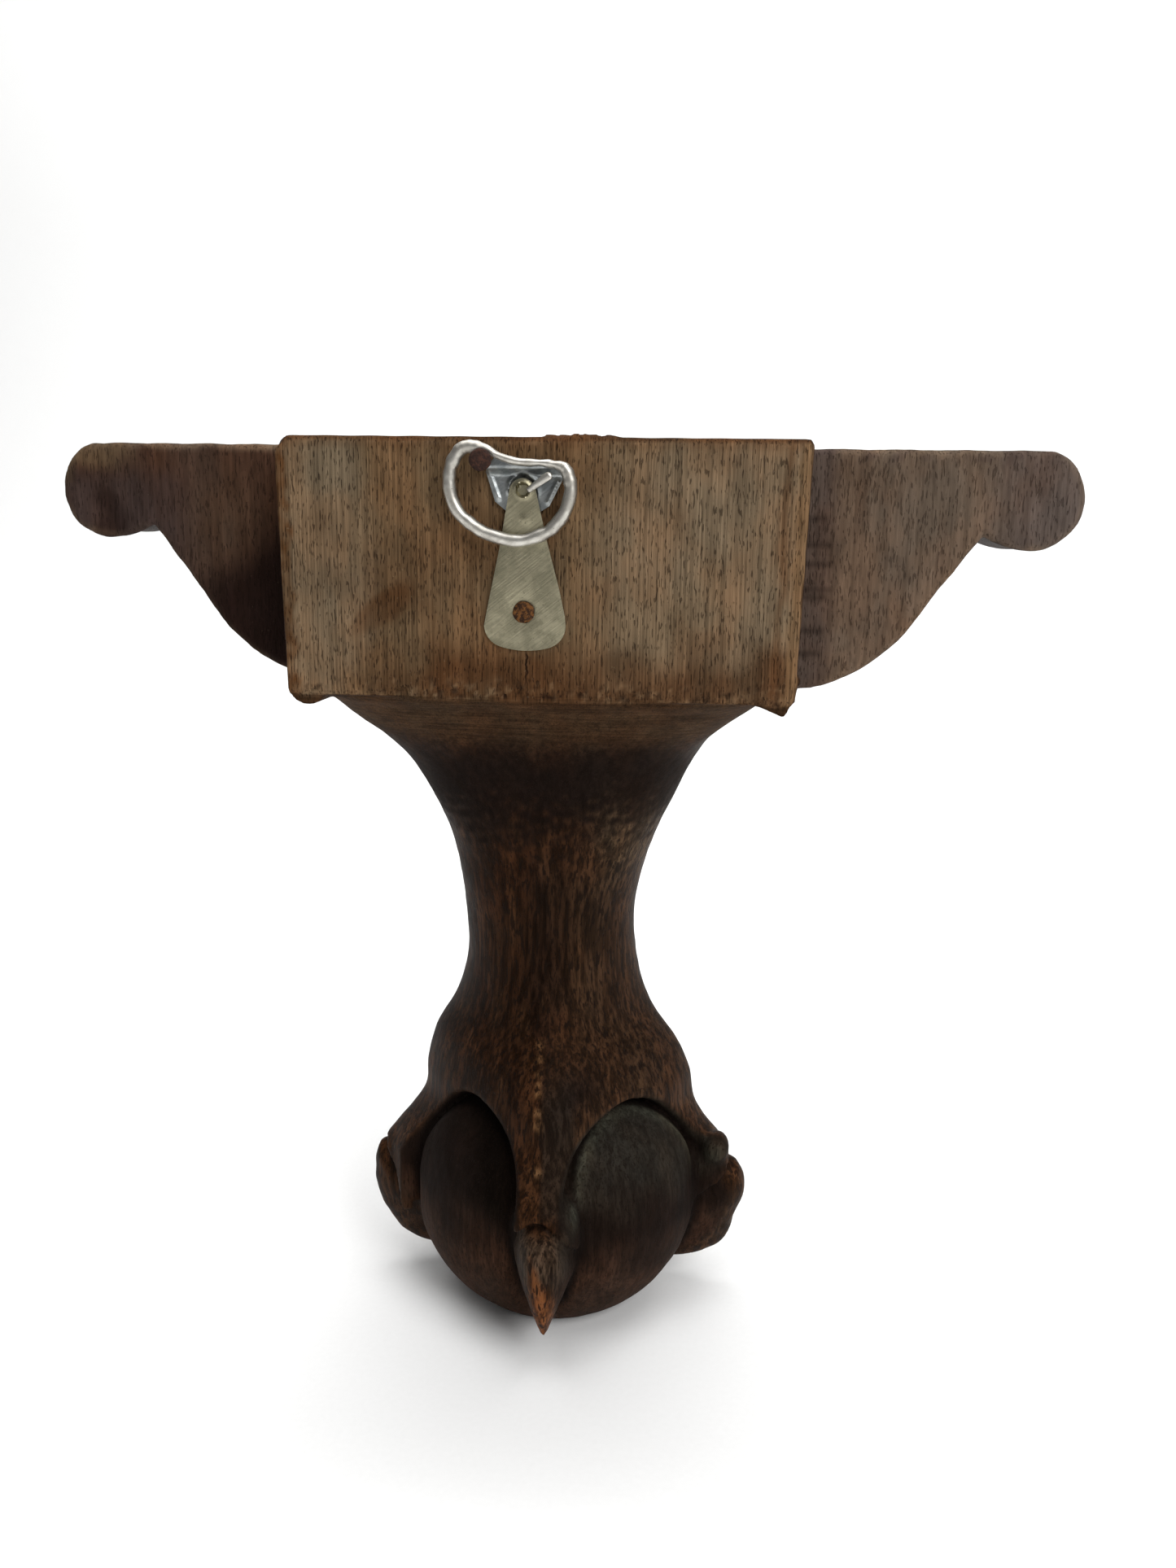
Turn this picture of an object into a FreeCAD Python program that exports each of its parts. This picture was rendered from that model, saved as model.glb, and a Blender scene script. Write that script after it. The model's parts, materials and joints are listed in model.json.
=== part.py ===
"""Ball-and-claw furniture leg, kept as a wall ornament.

A short carved leg with a square knee block, a waisted ankle and a foot of four clawed toes round a
ball. A scrolled bracket is dowelled to each side of the knee block. On the flat back of the block a
drinks-can pull tab serves as the hanger: its tear strip is nailed to the wood and its ring turns on
the strip's rivet, held in by the head of a second nail.

Frame: millimetres, +Z up, origin at the centre of the flat under the ball. The carved front faces
-Y and the wall is on the +Y side.
"""

import FreeCAD
import Part
import math
import os

from FreeCAD import Vector

# Leg
TOTAL_HEIGHT = 203.0
BACK_Y = 46.0                 # the plane of the knee block's sawn back
BLOCK_HEIGHT = 49.0
BLOCK_TOP_WIDTH = 102.0
BLOCK_FOOT_WIDTH = 99.4
BLOCK_FRONT_Y = -14.0
CORNER_LIP_RADIUS = 2.6
CORNER_LIP_DROP = 0.5

# Ball and toes
BALL_RADIUS = 35.3
BALL_HALF_HEIGHT = 32.8
BALL_CENTRE_Z = 27.0
TOES = 4

# Scrolled brackets
BRACKET_RECESS = 14.0         # from the block's back to the bracket's back
BRACKET_ROOT_THICK = 25.0
BRACKET_TIP_THICK = 17.0
BRACKET_REACH = 52.5
LOBE_HEIGHT = 19.2
CUSP_REACH = 33.5
CUSP_DROP = 16.4
BRACKET_ROOT_DROP = 47.8

# Dowels
DOWEL_RADIUS = 3.2
DOWEL_LENGTH = 26.0
DOWEL_DROPS = (13.0, 31.0)    # below the top of the block
GLUE_GAP = 1.0                # each hole is this much deeper than its dowel
SEAT_DOWEL_RADIUS = 5.0
SEAT_DOWEL_LENGTH = 26.0
SEAT_DOWEL_X = -6.0
SEAT_DOWEL_Y = 22.0

# Hanger, laid out from the rivet: "across" runs to the right for someone facing the back, which is
# -X, "up" is +Z, and "out" is the distance from the wood.
RIVET_X = 3.3
RIVET_DROP = 9.8
RIVET_RADIUS = 1.45
RIVET_CLEARANCE = 0.05
RIVET_FOOT_RADIUS = 2.2
SHEET = 0.35
STRIP_TIP_RADIUS = 2.5
STRIP_TIP_OUT = 1.4
STRIP_END_UP = -30.0
STRIP_END_HALF_WIDTH = 7.9
STRIP_END_ACROSS = 0.35       # the strip leans a little to the right as it goes down
STRIP_END_OUT = 0.05
PLATE_OUT = 0.6
RING_OUT = 2.75
RING_WIRE_RADIUS = 1.1
NAIL_RADIUS = 0.8
NAIL_HEAD_RADIUS = 2.15
NAIL_HEAD_THICK = 0.75
NAIL_HEAD_EDGE = 0.25
NAIL_LENGTH = 20.0            # in the wood
NAIL_POINT = 3.0
UPPER_NAIL = (-7.6, 5.6)      # across and up from the rivet
LOWER_NAIL = (0.2, -22.5)

BLOCK_FOOT_Z = TOTAL_HEIGHT - BLOCK_HEIGHT
RIVET_Z = TOTAL_HEIGHT - RIVET_DROP
OUTWARD = Vector(0, 1, 0)


def on_back(across, up, out):
    """A point of the hanger, from its place on the back of the block."""
    return Vector(RIVET_X - across, BACK_Y + out, RIVET_Z + up)


def stud(radius, start_out, length):
    """A cylinder on the rivet's axis, standing out from the back."""
    return Part.makeCylinder(radius, length, on_back(0, 0, start_out), OUTWARD)


def strip_out(up):
    """How far the wood side of the tear strip stands from the wood."""
    share = (up - STRIP_END_UP) / (STRIP_TIP_RADIUS - STRIP_END_UP)
    return STRIP_END_OUT + (STRIP_TIP_OUT - STRIP_END_OUT) * share


def closed_spline(points):
    curve = Part.BSplineCurve()
    curve.interpolate(Points=points, PeriodicFlag=True)
    return Part.Wire([curve.toShape()])


def closed_face(points):
    return Part.Face(Part.makePolygon(points + points[:1]))


def rounded_section(z, half_width, back_y, front_y, squareness):
    """A level outline, from an oval at squareness 2 towards a rounded oblong as it grows."""
    middle, half_depth = (back_y + front_y) / 2, (back_y - front_y) / 2
    count = 16
    points = []
    for i in range(count):
        angle = 2 * math.pi * i / count
        c, s = math.cos(angle), math.sin(angle)
        stretch = (abs(c) ** squareness + abs(s) ** squareness) ** (-1 / squareness)
        points.append(Vector(half_width * stretch * c, middle + half_depth * stretch * s, z))
    return closed_spline(points)


def knee_block():
    """The sawn block, a little narrower at its foot, with a rounded lip at each lower corner."""
    top, foot = BLOCK_TOP_WIDTH / 2, BLOCK_FOOT_WIDTH / 2
    outline = closed_face([
        Vector(-top, BACK_Y, TOTAL_HEIGHT),
        Vector(top, BACK_Y, TOTAL_HEIGHT),
        Vector(foot, BACK_Y, BLOCK_FOOT_Z),
        Vector(-foot, BACK_Y, BLOCK_FOOT_Z),
    ])
    depth = BACK_Y - BLOCK_FRONT_Y
    block = outline.extrude(Vector(0, -depth, 0))
    lips = []
    for side in (-1, 1):
        at = Vector(side * (foot - CORNER_LIP_RADIUS), BACK_Y, BLOCK_FOOT_Z + CORNER_LIP_DROP)
        lips.append(Part.makeCylinder(CORNER_LIP_RADIUS, depth, at, Vector(0, -1, 0)))
    return block.fuse(lips)


def knee():
    """The swelling front of the block, which the ankle grows out of."""
    stations = (
        (TOTAL_HEIGHT, 47.5, 10.0, -27.0, 2.6),
        (187.0, 48.5, 10.0, -37.0, 2.5),
        (171.0, 47.5, 10.0, -40.0, 2.4),
        (BLOCK_FOOT_Z, 44.0, 10.0, -37.5, 2.4),
    )
    return Part.makeLoft([rounded_section(*s) for s in stations], True)


def waist():
    """From the foot of the block down through the ankle and into the ball."""
    stations = (
        (BLOCK_FOOT_Z + 1.0, 46.0, 45.0, -37.7, 3.2),
        (144.0, 42.5, 35.0, -33.0, 3.0),
        (130.0, 30.5, 27.0, -26.0, 2.8),
        (115.0, 23.6, 21.0, -20.0, 2.6),
        (95.0, 20.4, 18.5, -18.0, 2.5),
        (80.0, 22.4, 21.0, -20.5, 2.4),
        (63.0, 28.0, 26.0, -26.5, 2.2),
        (44.0, 24.0, 23.0, -23.0, 2.0),
    )
    return Part.makeLoft([rounded_section(*s) for s in stations], True)


def ball():
    """An upright oval of revolution with a flat cut under it."""
    oval = Part.Ellipse(Vector(0, 0, 0), BALL_RADIUS, BALL_HALF_HEIGHT)
    half = Part.Face(Part.Wire([
        Part.ArcOfEllipse(oval, -math.pi / 2, math.pi / 2).toShape(),
        Part.makeLine(Vector(0, BALL_HALF_HEIGHT, 0), Vector(0, -BALL_HALF_HEIGHT, 0)),
    ]))
    half.rotate(Vector(0, 0, 0), Vector(1, 0, 0), 90)
    half.translate(Vector(0, 0, BALL_CENTRE_Z))
    whole = half.revolve(Vector(0, 0, 0), Vector(0, 0, 1), 360)
    below = Part.makeBox(100, 100, 40, Vector(-50, -50, -40))
    return whole.cut(below)


def rounded_run(stations):
    """A tapering limb in the XZ plane, from its stations: place x, place z and radius."""
    rings = []
    for i, (x, z, radius) in enumerate(stations):
        before, after = stations[max(i - 1, 0)], stations[min(i + 1, len(stations) - 1)]
        along = Vector(after[0] - before[0], 0, after[1] - before[1])
        rings.append(Part.Wire([Part.makeCircle(radius, Vector(x, 0, z), along)]))
    return Part.makeLoft(rings, True)


def toe(turn):
    """One toe with two knuckles and its claw, turned about the ball's axis."""
    finger = rounded_run((
        (13.0, 73.0, 6.0),
        (24.0, 59.5, 8.8),
        (27.6, 50.0, 6.4),
        (33.4, 40.5, 7.8),
        (35.0, 31.0, 5.5),
    ))
    claw = rounded_run((
        (33.0, 40.0, 4.0),
        (38.4, 32.0, 7.2),
        (39.6, 25.0, 6.8),
        (38.0, 16.5, 5.6),
        (34.0, 9.0, 2.2),
    ))
    both = finger.fuse(claw)
    both.rotate(Vector(0, 0, 0), Vector(0, 0, 1), turn)
    return both


def bracket_outline(side):
    """The scrolled face of a bracket: a lobe at the tip, a cusp, and a sweep down to the root."""
    slope = (BLOCK_FOOT_WIDTH - BLOCK_TOP_WIDTH) / 2 / BLOCK_HEIGHT

    def at(reach, drop):
        place = BLOCK_TOP_WIDTH / 2 + reach
        return Vector(side * place, BACK_Y - BRACKET_RECESS, TOTAL_HEIGHT - drop)

    root_foot = at(slope * BRACKET_ROOT_DROP, BRACKET_ROOT_DROP)
    cusp = at(CUSP_REACH, CUSP_DROP)
    lobe_top = at(BRACKET_REACH - 6.5, 0)
    lobe_foot = at(44.0, LOBE_HEIGHT)
    bend = at(23.5, 30.2)
    edges = [
        Part.makeLine(at(0, 0), lobe_top),
        Part.Arc(lobe_top, at(BRACKET_REACH, 8.6), lobe_foot).toShape(),
        Part.Arc(lobe_foot, at(38.5, 18.7), cusp).toShape(),
        Part.makeLine(cusp, bend),
        Part.Arc(bend, at(13.8, 41.5), root_foot).toShape(),
        Part.makeLine(root_foot, at(0, 0)),
    ]
    return Part.Face(Part.Wire(edges))


def bracket(side):
    """A bracket, its front shaved so that it is thinner towards the tip."""
    slab = bracket_outline(side).extrude(Vector(0, -BRACKET_ROOT_THICK, 0))
    root, tip = BLOCK_TOP_WIDTH / 2, BLOCK_TOP_WIDTH / 2 + BRACKET_REACH + 1
    back = BACK_Y - BRACKET_RECESS
    past = back - BRACKET_ROOT_THICK - 1
    shaving = closed_face([
        Vector(side * root, back - BRACKET_ROOT_THICK, TOTAL_HEIGHT - BLOCK_HEIGHT),
        Vector(side * tip, back - BRACKET_TIP_THICK, TOTAL_HEIGHT - BLOCK_HEIGHT),
        Vector(side * tip, past, TOTAL_HEIGHT - BLOCK_HEIGHT),
        Vector(side * root, past, TOTAL_HEIGHT - BLOCK_HEIGHT),
    ])
    return slab.cut(shaving.extrude(Vector(0, 0, BLOCK_HEIGHT + 1)))


def bracket_dowel(side, drop, extra=0.0):
    """A dowel across the joint between block and bracket. extra lengthens it, to bore its hole."""
    length = DOWEL_LENGTH + 2 * extra
    middle_x = side * BLOCK_TOP_WIDTH / 2
    middle_y = BACK_Y - BRACKET_RECESS - BRACKET_TIP_THICK / 2
    at = Vector(middle_x - length / 2, middle_y, TOTAL_HEIGHT - drop)
    return Part.makeCylinder(DOWEL_RADIUS, length, at, Vector(1, 0, 0))


def seat_dowel(extra=0.0):
    """The stub of the dowel that once held the leg to its furniture, broken off flush."""
    length = SEAT_DOWEL_LENGTH + extra
    at = Vector(SEAT_DOWEL_X, SEAT_DOWEL_Y, TOTAL_HEIGHT - length)
    return Part.makeCylinder(SEAT_DOWEL_RADIUS, length, at)


def nail(place, head_out):
    """A wire nail driven square to the back, its head's underside head_out from the wood."""
    across, up = place
    straight = NAIL_LENGTH - NAIL_POINT
    head_top = BACK_Y + head_out + NAIL_HEAD_THICK
    shank = Part.makeCylinder(
        NAIL_RADIUS, straight + head_out, on_back(across, up, -straight), OUTWARD)
    point = Part.makeCone(
        0.15, NAIL_RADIUS, NAIL_POINT, on_back(across, up, -NAIL_LENGTH), OUTWARD)
    head = Part.makeCylinder(
        NAIL_HEAD_RADIUS, NAIL_HEAD_THICK, on_back(across, up, head_out), OUTWARD)
    rim = [e for e in head.Edges if e.Closed and abs(e.CenterOfMass.y - head_top) < 1e-3]
    return shank.fuse([point, head.makeFillet(NAIL_HEAD_EDGE, rim)])


def strip_outline():
    """The teardrop outline of the tear strip, leaning from its raised tip to its nailed end."""
    half, end, tip = STRIP_END_HALF_WIDTH, STRIP_END_UP, STRIP_TIP_RADIUS

    def at(across, up):
        return on_back(across + STRIP_END_ACROSS * up / end, up, strip_out(up))

    edges = [Part.Arc(at(-tip, 0.3), at(0, tip), at(tip, 0.3)).toShape()]
    for side in (-1, 1):
        widest, low = at(side * half, end + 5.0), at(side * (half - 3.8), end + 0.6)
        corner = at(side * (half - 1.1), end + 2.1)
        edges.append(Part.makeLine(at(side * tip, 0.3), widest))
        edges.append(Part.Arc(widest, corner, low).toShape())
    edges.append(Part.Arc(at(3.8 - half, end + 0.6), at(0, end), at(half - 3.8, end + 0.6)).toShape())
    return Part.Face(Part.Wire(Part.__sortEdges__(edges)))


def tear_strip():
    """The strip torn out of the can's lid, with the hollow rivet that was drawn out of it."""
    sheet = strip_outline().extrude(Vector(0, SHEET, 0))
    foot_out = 0.1
    shank = stud(RIVET_RADIUS, foot_out, STRIP_TIP_OUT + SHEET / 2 - foot_out)
    foot = stud(RIVET_FOOT_RADIUS, foot_out, SHEET)
    hollow = stud(RIVET_RADIUS - SHEET, foot_out + SHEET, 2.0)
    nail_hole = Part.makeCylinder(NAIL_RADIUS, 4.0, on_back(*LOWER_NAIL, -1.0), OUTWARD)
    return sheet.fuse([shank, foot]).cut(hollow).cut(nail_hole)


def ring_path():
    """The middle of the ring's wire: a D whose top side is dented down beside the nail."""
    places = (
        (-13.8, 1.7), (-12.5, 6.6), (-10.2, 8.3), (-7.3, 8.1), (-4.4, 6.4), (-0.8, 5.4), (4.0, 5.2),
        (7.7, 4.5), (9.1, 1.2), (8.2, -3.5), (4.4, -7.6), (-0.6, -9.1), (-6.4, -7.9), (-12.0, -4.0),
    )
    return closed_spline([on_back(a, u, RING_OUT) for a, u in places])


def nose_plate():
    """The nose of the ring tab: flat round the rivet, then bent up and out into the ring's wire."""
    low, high = PLATE_OUT, RING_OUT - RING_WIRE_RADIUS / 2
    section = [(-4.0, low), (2.6, low), (4.2, high), (6.6, high), (6.6, high + SHEET),
               (3.9, high + SHEET), (2.4, low + SHEET), (-4.0, low + SHEET)]
    left, right = -9.0, 9.0
    bent = closed_face([on_back(left, up, out) for up, out in section])
    bent = bent.extrude(on_back(right, 0, 0) - on_back(left, 0, 0))
    corners = (
        (-4.6, 6.4), (-7.1, 3.6), (-5.4, -1.8), (-3.4, -3.4), (3.1, -3.6), (5.0, -2.5), (7.4, 2.8),
        (6.6, 4.6), (-0.7, 5.2),
    )
    outline = closed_face([on_back(across, up, 0) for across, up in corners])
    plate = bent.common(outline.extrude(Vector(0, RING_OUT * 2, 0)))
    return plate.cut(stud(RIVET_RADIUS + RIVET_CLEARANCE, 0.0, 2 * RING_OUT))


def pull_ring():
    """The ring with its nose plate, stamped as one piece."""
    path = ring_path()
    start = path.Edges[0]
    first = start.FirstParameter
    circle = Part.makeCircle(RING_WIRE_RADIUS, start.valueAt(first), start.tangentAt(first))
    wire = path.makePipeShell([Part.Wire([circle])], True, False)
    return wire.fuse(nose_plate())


def carved_leg():
    foot = ball()
    for i in range(TOES):
        foot = foot.fuse(toe(360 / TOES * i))
    return foot.fuse(waist()).fuse(knee_block().fuse(knee()))


def build():
    pieces = {"carved_leg": carved_leg(), "tear_strip": tear_strip(), "pull_ring": pull_ring()}
    pieces["seat_dowel"] = seat_dowel()
    pieces["upper_nail"] = nail(UPPER_NAIL, RING_OUT + RING_WIRE_RADIUS + 0.3)
    pieces["lower_nail"] = nail(LOWER_NAIL, strip_out(LOWER_NAIL[1]) + SHEET + 0.05)

    for name, side in (("right", -1), ("left", 1)):
        wood = f"{name}_bracket"
        pieces[wood] = bracket(side)
        for row, drop in zip(("upper", "lower"), DOWEL_DROPS):
            hole = bracket_dowel(side, drop, GLUE_GAP)
            pieces[wood] = pieces[wood].cut(hole)
            pieces["carved_leg"] = pieces["carved_leg"].cut(hole)
            pieces[f"{name}_bracket_{row}_dowel"] = bracket_dowel(side, drop)
    for hole in (seat_dowel(GLUE_GAP), pieces["upper_nail"], pieces["lower_nail"]):
        pieces["carved_leg"] = pieces["carved_leg"].cut(hole)
    return pieces


os.makedirs("parts", exist_ok=True)
for node, shape in build().items():
    if len(shape.Solids) != 1 or not shape.isValid():
        print(f"{node}: {len(shape.Solids)} solids, valid {shape.isValid()}")
    shape.Solids[0].exportStep(f"parts/{node}.step")
    print(f"{node}: {shape.Volume / 1000:.2f} cm3")
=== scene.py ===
"""Looks for the ball-and-claw leg: carved wood, scrolled brackets and a pull-tab hanger.

Shapes are worked out in millimetres and turned into metres when a mesh is made. The carved wood is a
signed distance field, negative inside the wood, that is turned into a mesh. +Z is up, the sawn back
of the knee block faces +Y, and "left" is +X, which is the left-hand side seen from behind.
"""

import json
import math

import bmesh
import bpy
import numpy as np
import openvdb
from mathutils import Matrix, Vector
from mathutils.geometry import delaunay_2d_cdt


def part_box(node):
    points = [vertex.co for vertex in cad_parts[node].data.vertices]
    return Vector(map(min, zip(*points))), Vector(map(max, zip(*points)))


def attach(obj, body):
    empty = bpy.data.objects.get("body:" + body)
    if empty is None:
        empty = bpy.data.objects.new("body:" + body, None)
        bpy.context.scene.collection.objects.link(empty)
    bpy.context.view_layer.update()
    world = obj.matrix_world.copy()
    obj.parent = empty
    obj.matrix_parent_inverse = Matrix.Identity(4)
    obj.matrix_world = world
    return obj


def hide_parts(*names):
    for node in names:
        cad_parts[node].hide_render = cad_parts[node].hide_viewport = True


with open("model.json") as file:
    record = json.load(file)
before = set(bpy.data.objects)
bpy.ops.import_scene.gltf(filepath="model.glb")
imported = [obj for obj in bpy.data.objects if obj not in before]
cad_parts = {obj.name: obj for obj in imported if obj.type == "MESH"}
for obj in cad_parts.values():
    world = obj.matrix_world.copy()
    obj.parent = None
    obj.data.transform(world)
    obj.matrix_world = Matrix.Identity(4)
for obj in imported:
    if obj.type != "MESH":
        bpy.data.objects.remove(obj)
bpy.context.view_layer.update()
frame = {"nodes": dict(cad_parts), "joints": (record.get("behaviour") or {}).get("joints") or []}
MM = 0.001


def box_mm(node):
    low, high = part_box(node)
    return np.array(low) / MM, np.array(high) / MM


LEG_HIGH = box_mm("carved_leg")[1]
TOP = LEG_HIGH[2]
BRACKET_RECESS = 14.0         # from the block's back to the brackets' backs
BRACKET_BACK = box_mm("left_bracket")[1][1]
BACK = BRACKET_BACK + BRACKET_RECESS
BLOCK_HALF = LEG_HIGH[0]
BRACKET_REACH = box_mm("left_bracket")[1][0] - BLOCK_HALF
RIVET = np.array(frame["joints"][0]["pos_m"]) / MM

# Knee block
BLOCK_HEIGHT = 49.0
BLOCK_FOOT = TOP - BLOCK_HEIGHT
BLOCK_TAPER = 1.3             # narrower on each side at the foot
BLOCK_FRONT = -14.0
BLOCK_EDGE = 1.3
BLOCK_SKEW = 1.1              # how much wider the block is on the left

# Leg profiles, each a list of (height, size)
HALF_WIDTH = ((203, 47.5), (187, 48.5), (171, 48.0), (157, 48.5), (152, 47.8), (149, 45.2), (146, 41.8),
              (142, 37.4), (138, 34.1), (134, 31.7), (130, 29.7), (126, 27.9), (121, 25.6), (114, 23.2),
              (105, 21.2), (96, 20.3), (84, 21.2), (75, 24.2), (66, 29.9), (58, 32.9), (50, 34.0),
              (44, 37.8), (40, 41.0), (36, 43.2))
BACK_REACH = ((203, 38), (157, 38), (154, 45.6), (150, 41), (144, 34.5), (136, 29), (126, 24.5),
              (114, 21), (98, 19.3), (86, 21), (75, 25), (66, 30.5), (58, 34), (50, 35.5),
              (44, 38.5), (40, 41), (36, 43))
FRONT_REACH = ((203, 28), (186, 38), (170, 41), (154, 38), (144, 33.5), (136, 30), (126, 26),
               (114, 21.5), (98, 18.5), (86, 20), (75, 24), (66, 29.5), (58, 33), (50, 34.5),
               (44, 38), (40, 41), (36, 43))
SQUARENESS = ((203, 2.6), (160, 2.5), (154, 3.6), (148, 3.4), (140, 3.0), (126, 2.6), (112, 2.3),
              (100, 2.0), (88, 1.75), (76, 1.5), (64, 1.38), (40, 1.32))
LEAN = ((160, 0), (154, 1.2), (148, 2.6), (142, 2.8), (138, 2.2), (132, 1.7), (122, 1.6), (114, 1.9),
        (104, 2.4), (84, 1.8), (70, 1.6), (58, 0.1), (46, 0))

# Ball and toes
BALL_RADIUS = 35.3
BALL_CENTRE = 27.0
BALL_BELOW = 32.8             # half height of the ball's lower half, and of its fuller upper half
BALL_ABOVE = 36.5
BALL_FULLNESS = 2.5
ARCH_SPRING = 37.6            # height at which the arches between the toes start to close
ARCH_HEIGHT = 20.4
TOE_NARROWING = 0.3
GROOVE_DEPTH = 1.5
GROOVE_WIDTH = 2.0
RIDGE_ROUNDING = 1.0
CUTICLE_TOP = 37.6
SIDE_CUTICLE_DROP = 2.0
CUTICLE_CURVE = 0.15
LIP_DEPTH = 0.55
# Each arch's turn from the rear toe towards +X, at its foot and at its top, and its half width
ARCHES = ((41.0, 38.0, 20.0), (-44.3, -41.0, 22.8), (135.0, 139.0, 21.0), (-135.0, -139.0, 21.0))
# The claws as lists of (height, size)
REAR_CLAW_REACH = ((43, 36), (40, 39.5), (37.5, 41.6), (34, 44.2), (30, 45.9), (26, 46.2), (20, 45.4),
                   (15, 43.9), (11, 42.0), (8, 40))
REAR_CLAW_HALF = ((43, 2), (40, 6.2), (37.5, 7.8), (34, 8.5), (29.4, 8.4), (23, 6.9), (18.6, 5.2),
                  (15.5, 3.9), (12, 2.4), (8.8, 0.9))
SIDE_CLAW_REACH = ((43, 36), (40, 40), (37, 43.0), (34, 45.2), (29, 46.9), (25, 47.0), (20, 45.9),
                   (14, 43.4), (10, 40.2), (7.5, 36.0), (6, 33))
SIDE_CLAW_HALF = ((43, 3), (40, 6.5), (37, 8.2), (33, 9.0), (27, 9.0), (20, 7.6), (14, 5.6),
                  (10, 4.2), (7.5, 3.0), (6, 1.5))
# Each claw's turn, its lists, and the height of its tip
CLAWS = ((-1.7, REAR_CLAW_REACH, REAR_CLAW_HALF, 8.6), (90.0, SIDE_CLAW_REACH, SIDE_CLAW_HALF, 6.8),
         (180.0, REAR_CLAW_REACH, REAR_CLAW_HALF, 9.9), (-90.0, SIDE_CLAW_REACH, SIDE_CLAW_HALF, 7.6))
CLAW_TOP = 42.0
RIGHT_KNUCKLE = (-39.6, 5.0, 39.6)
# Spots rubbed through on the rear toe's ridge, as (height, size)
RIDGE_DOTS = ((72.8, 0.7), (70.2, 0.75), (67.3, 0.6), (65.4, 0.5), (63.5, 0.7), (59.6, 0.8),
              (57.0, 0.95), (47.2, 0.85))
# Colours of the metal, and of the wood's patches, pores and specks, and of the light its finish reflects
PATCH_WARM = (1.07, 0.99, 0.93, 1)
PATCH_COOL = (0.94, 1.0, 1.04, 1)
PORE_BLACK = (0.006, 0.0035, 0.0025, 1)
SPECK_PALE = (0.20, 0.15, 0.10, 1)
FINISH_TINT = (1.0, 0.64, 0.42, 1)
STRIP_BRIGHT, STRIP_DULL = (0.320, 0.292, 0.200), (0.232, 0.212, 0.143)
RING_BRIGHT, RING_DULL = (0.58, 0.56, 0.51), (0.40, 0.38, 0.34)
PLATE_BRIGHT, PLATE_DULL = (0.34, 0.355, 0.35), (0.19, 0.205, 0.21)
# Steps of the distance fields
LEG_VOXEL = 0.68
BOARD_VOXEL = 0.5
STUB_VOXEL = 0.3
# How far round a point its hollowness is judged, for broad dirt and painted shade in hollows, and for
# edges and creases
WIDE_HOLLOW = 4.0
FINE_HOLLOW = 1.4

# Brackets: the tip's round lobe, the cusp beside it, and the sweep down to the root
LOBE_HEIGHT = 19.2
BRACKET_SHIFT = 1.6           # both brackets sit this far towards the right
CUSP = (33.5, 16.4)           # reach from the block, and drop from the top
BRACKET_BEND = (23.5, 30.2)
ROOT_DROP = 47.8
ROOT_THICK = 25.0
# Saw marks at the right bracket's root, as (drop, length)
ROOT_MARKS = ((13.5, 0.6), (18.6, 1.6), (22.4, 2.2), (27.4, 2.4), (29.0, 1.2), (35.6, 1.0), (40.2, 0.4))
TIP_THICK = 17.0
# How much lower the board is at the front than at the back, by side; below 0 it is higher
LOBE_FLARES = {1: -1.5, -1: -0.5}

# Hanger: places are across, up and out from the rivet, as someone facing the back sees them
SHEET = 0.35
STRIP_TIP = 2.5
STRIP_TIP_OUT = 1.6
STRIP_END_UP = -30.0
PLATE_OUT = 0.4
RING_OUT = 2.85
WIRE_RADIUS = 1.24
HEAD_RADIUS = 2.1
HEAD_THICK = 0.75
NAIL_DENT = 0.28
CRACK_ACROSS = 2.6
UPPER_NAIL = (-7.6, 5.6)
LOWER_NAIL = (0.2, -22.5)


def profile(stations, at):
    """A smooth curve through (position, value) stations, read at the positions in an array."""
    places, values = np.array(sorted(stations), float).T
    slopes = np.gradient(values, places)
    at = np.clip(at, places[0], places[-1])
    i = np.clip(np.searchsorted(places, at) - 1, 0, len(places) - 2)
    span = places[i + 1] - places[i]
    t = (at - places[i]) / span
    start, end = values[i], values[i + 1]
    rise, fall = slopes[i] * span, slopes[i + 1] * span
    return (start * (1 + 2 * t) * (1 - t) ** 2 + rise * t * (1 - t) ** 2
            + end * t * t * (3 - 2 * t) - fall * t * t * (1 - t)).astype(np.float32)


def smooth_min(a, b, k):
    h = np.clip(0.5 + 0.5 * (b - a) / k, 0, 1)
    return b + (a - b) * h - k * h * (1 - h)


def smooth_max(a, b, k):
    return -smooth_min(-a, -b, k)


def smooth_step(low, high, value):
    t = np.clip((value - low) / (high - low), 0, 1)
    return t * t * (3 - 2 * t)


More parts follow.
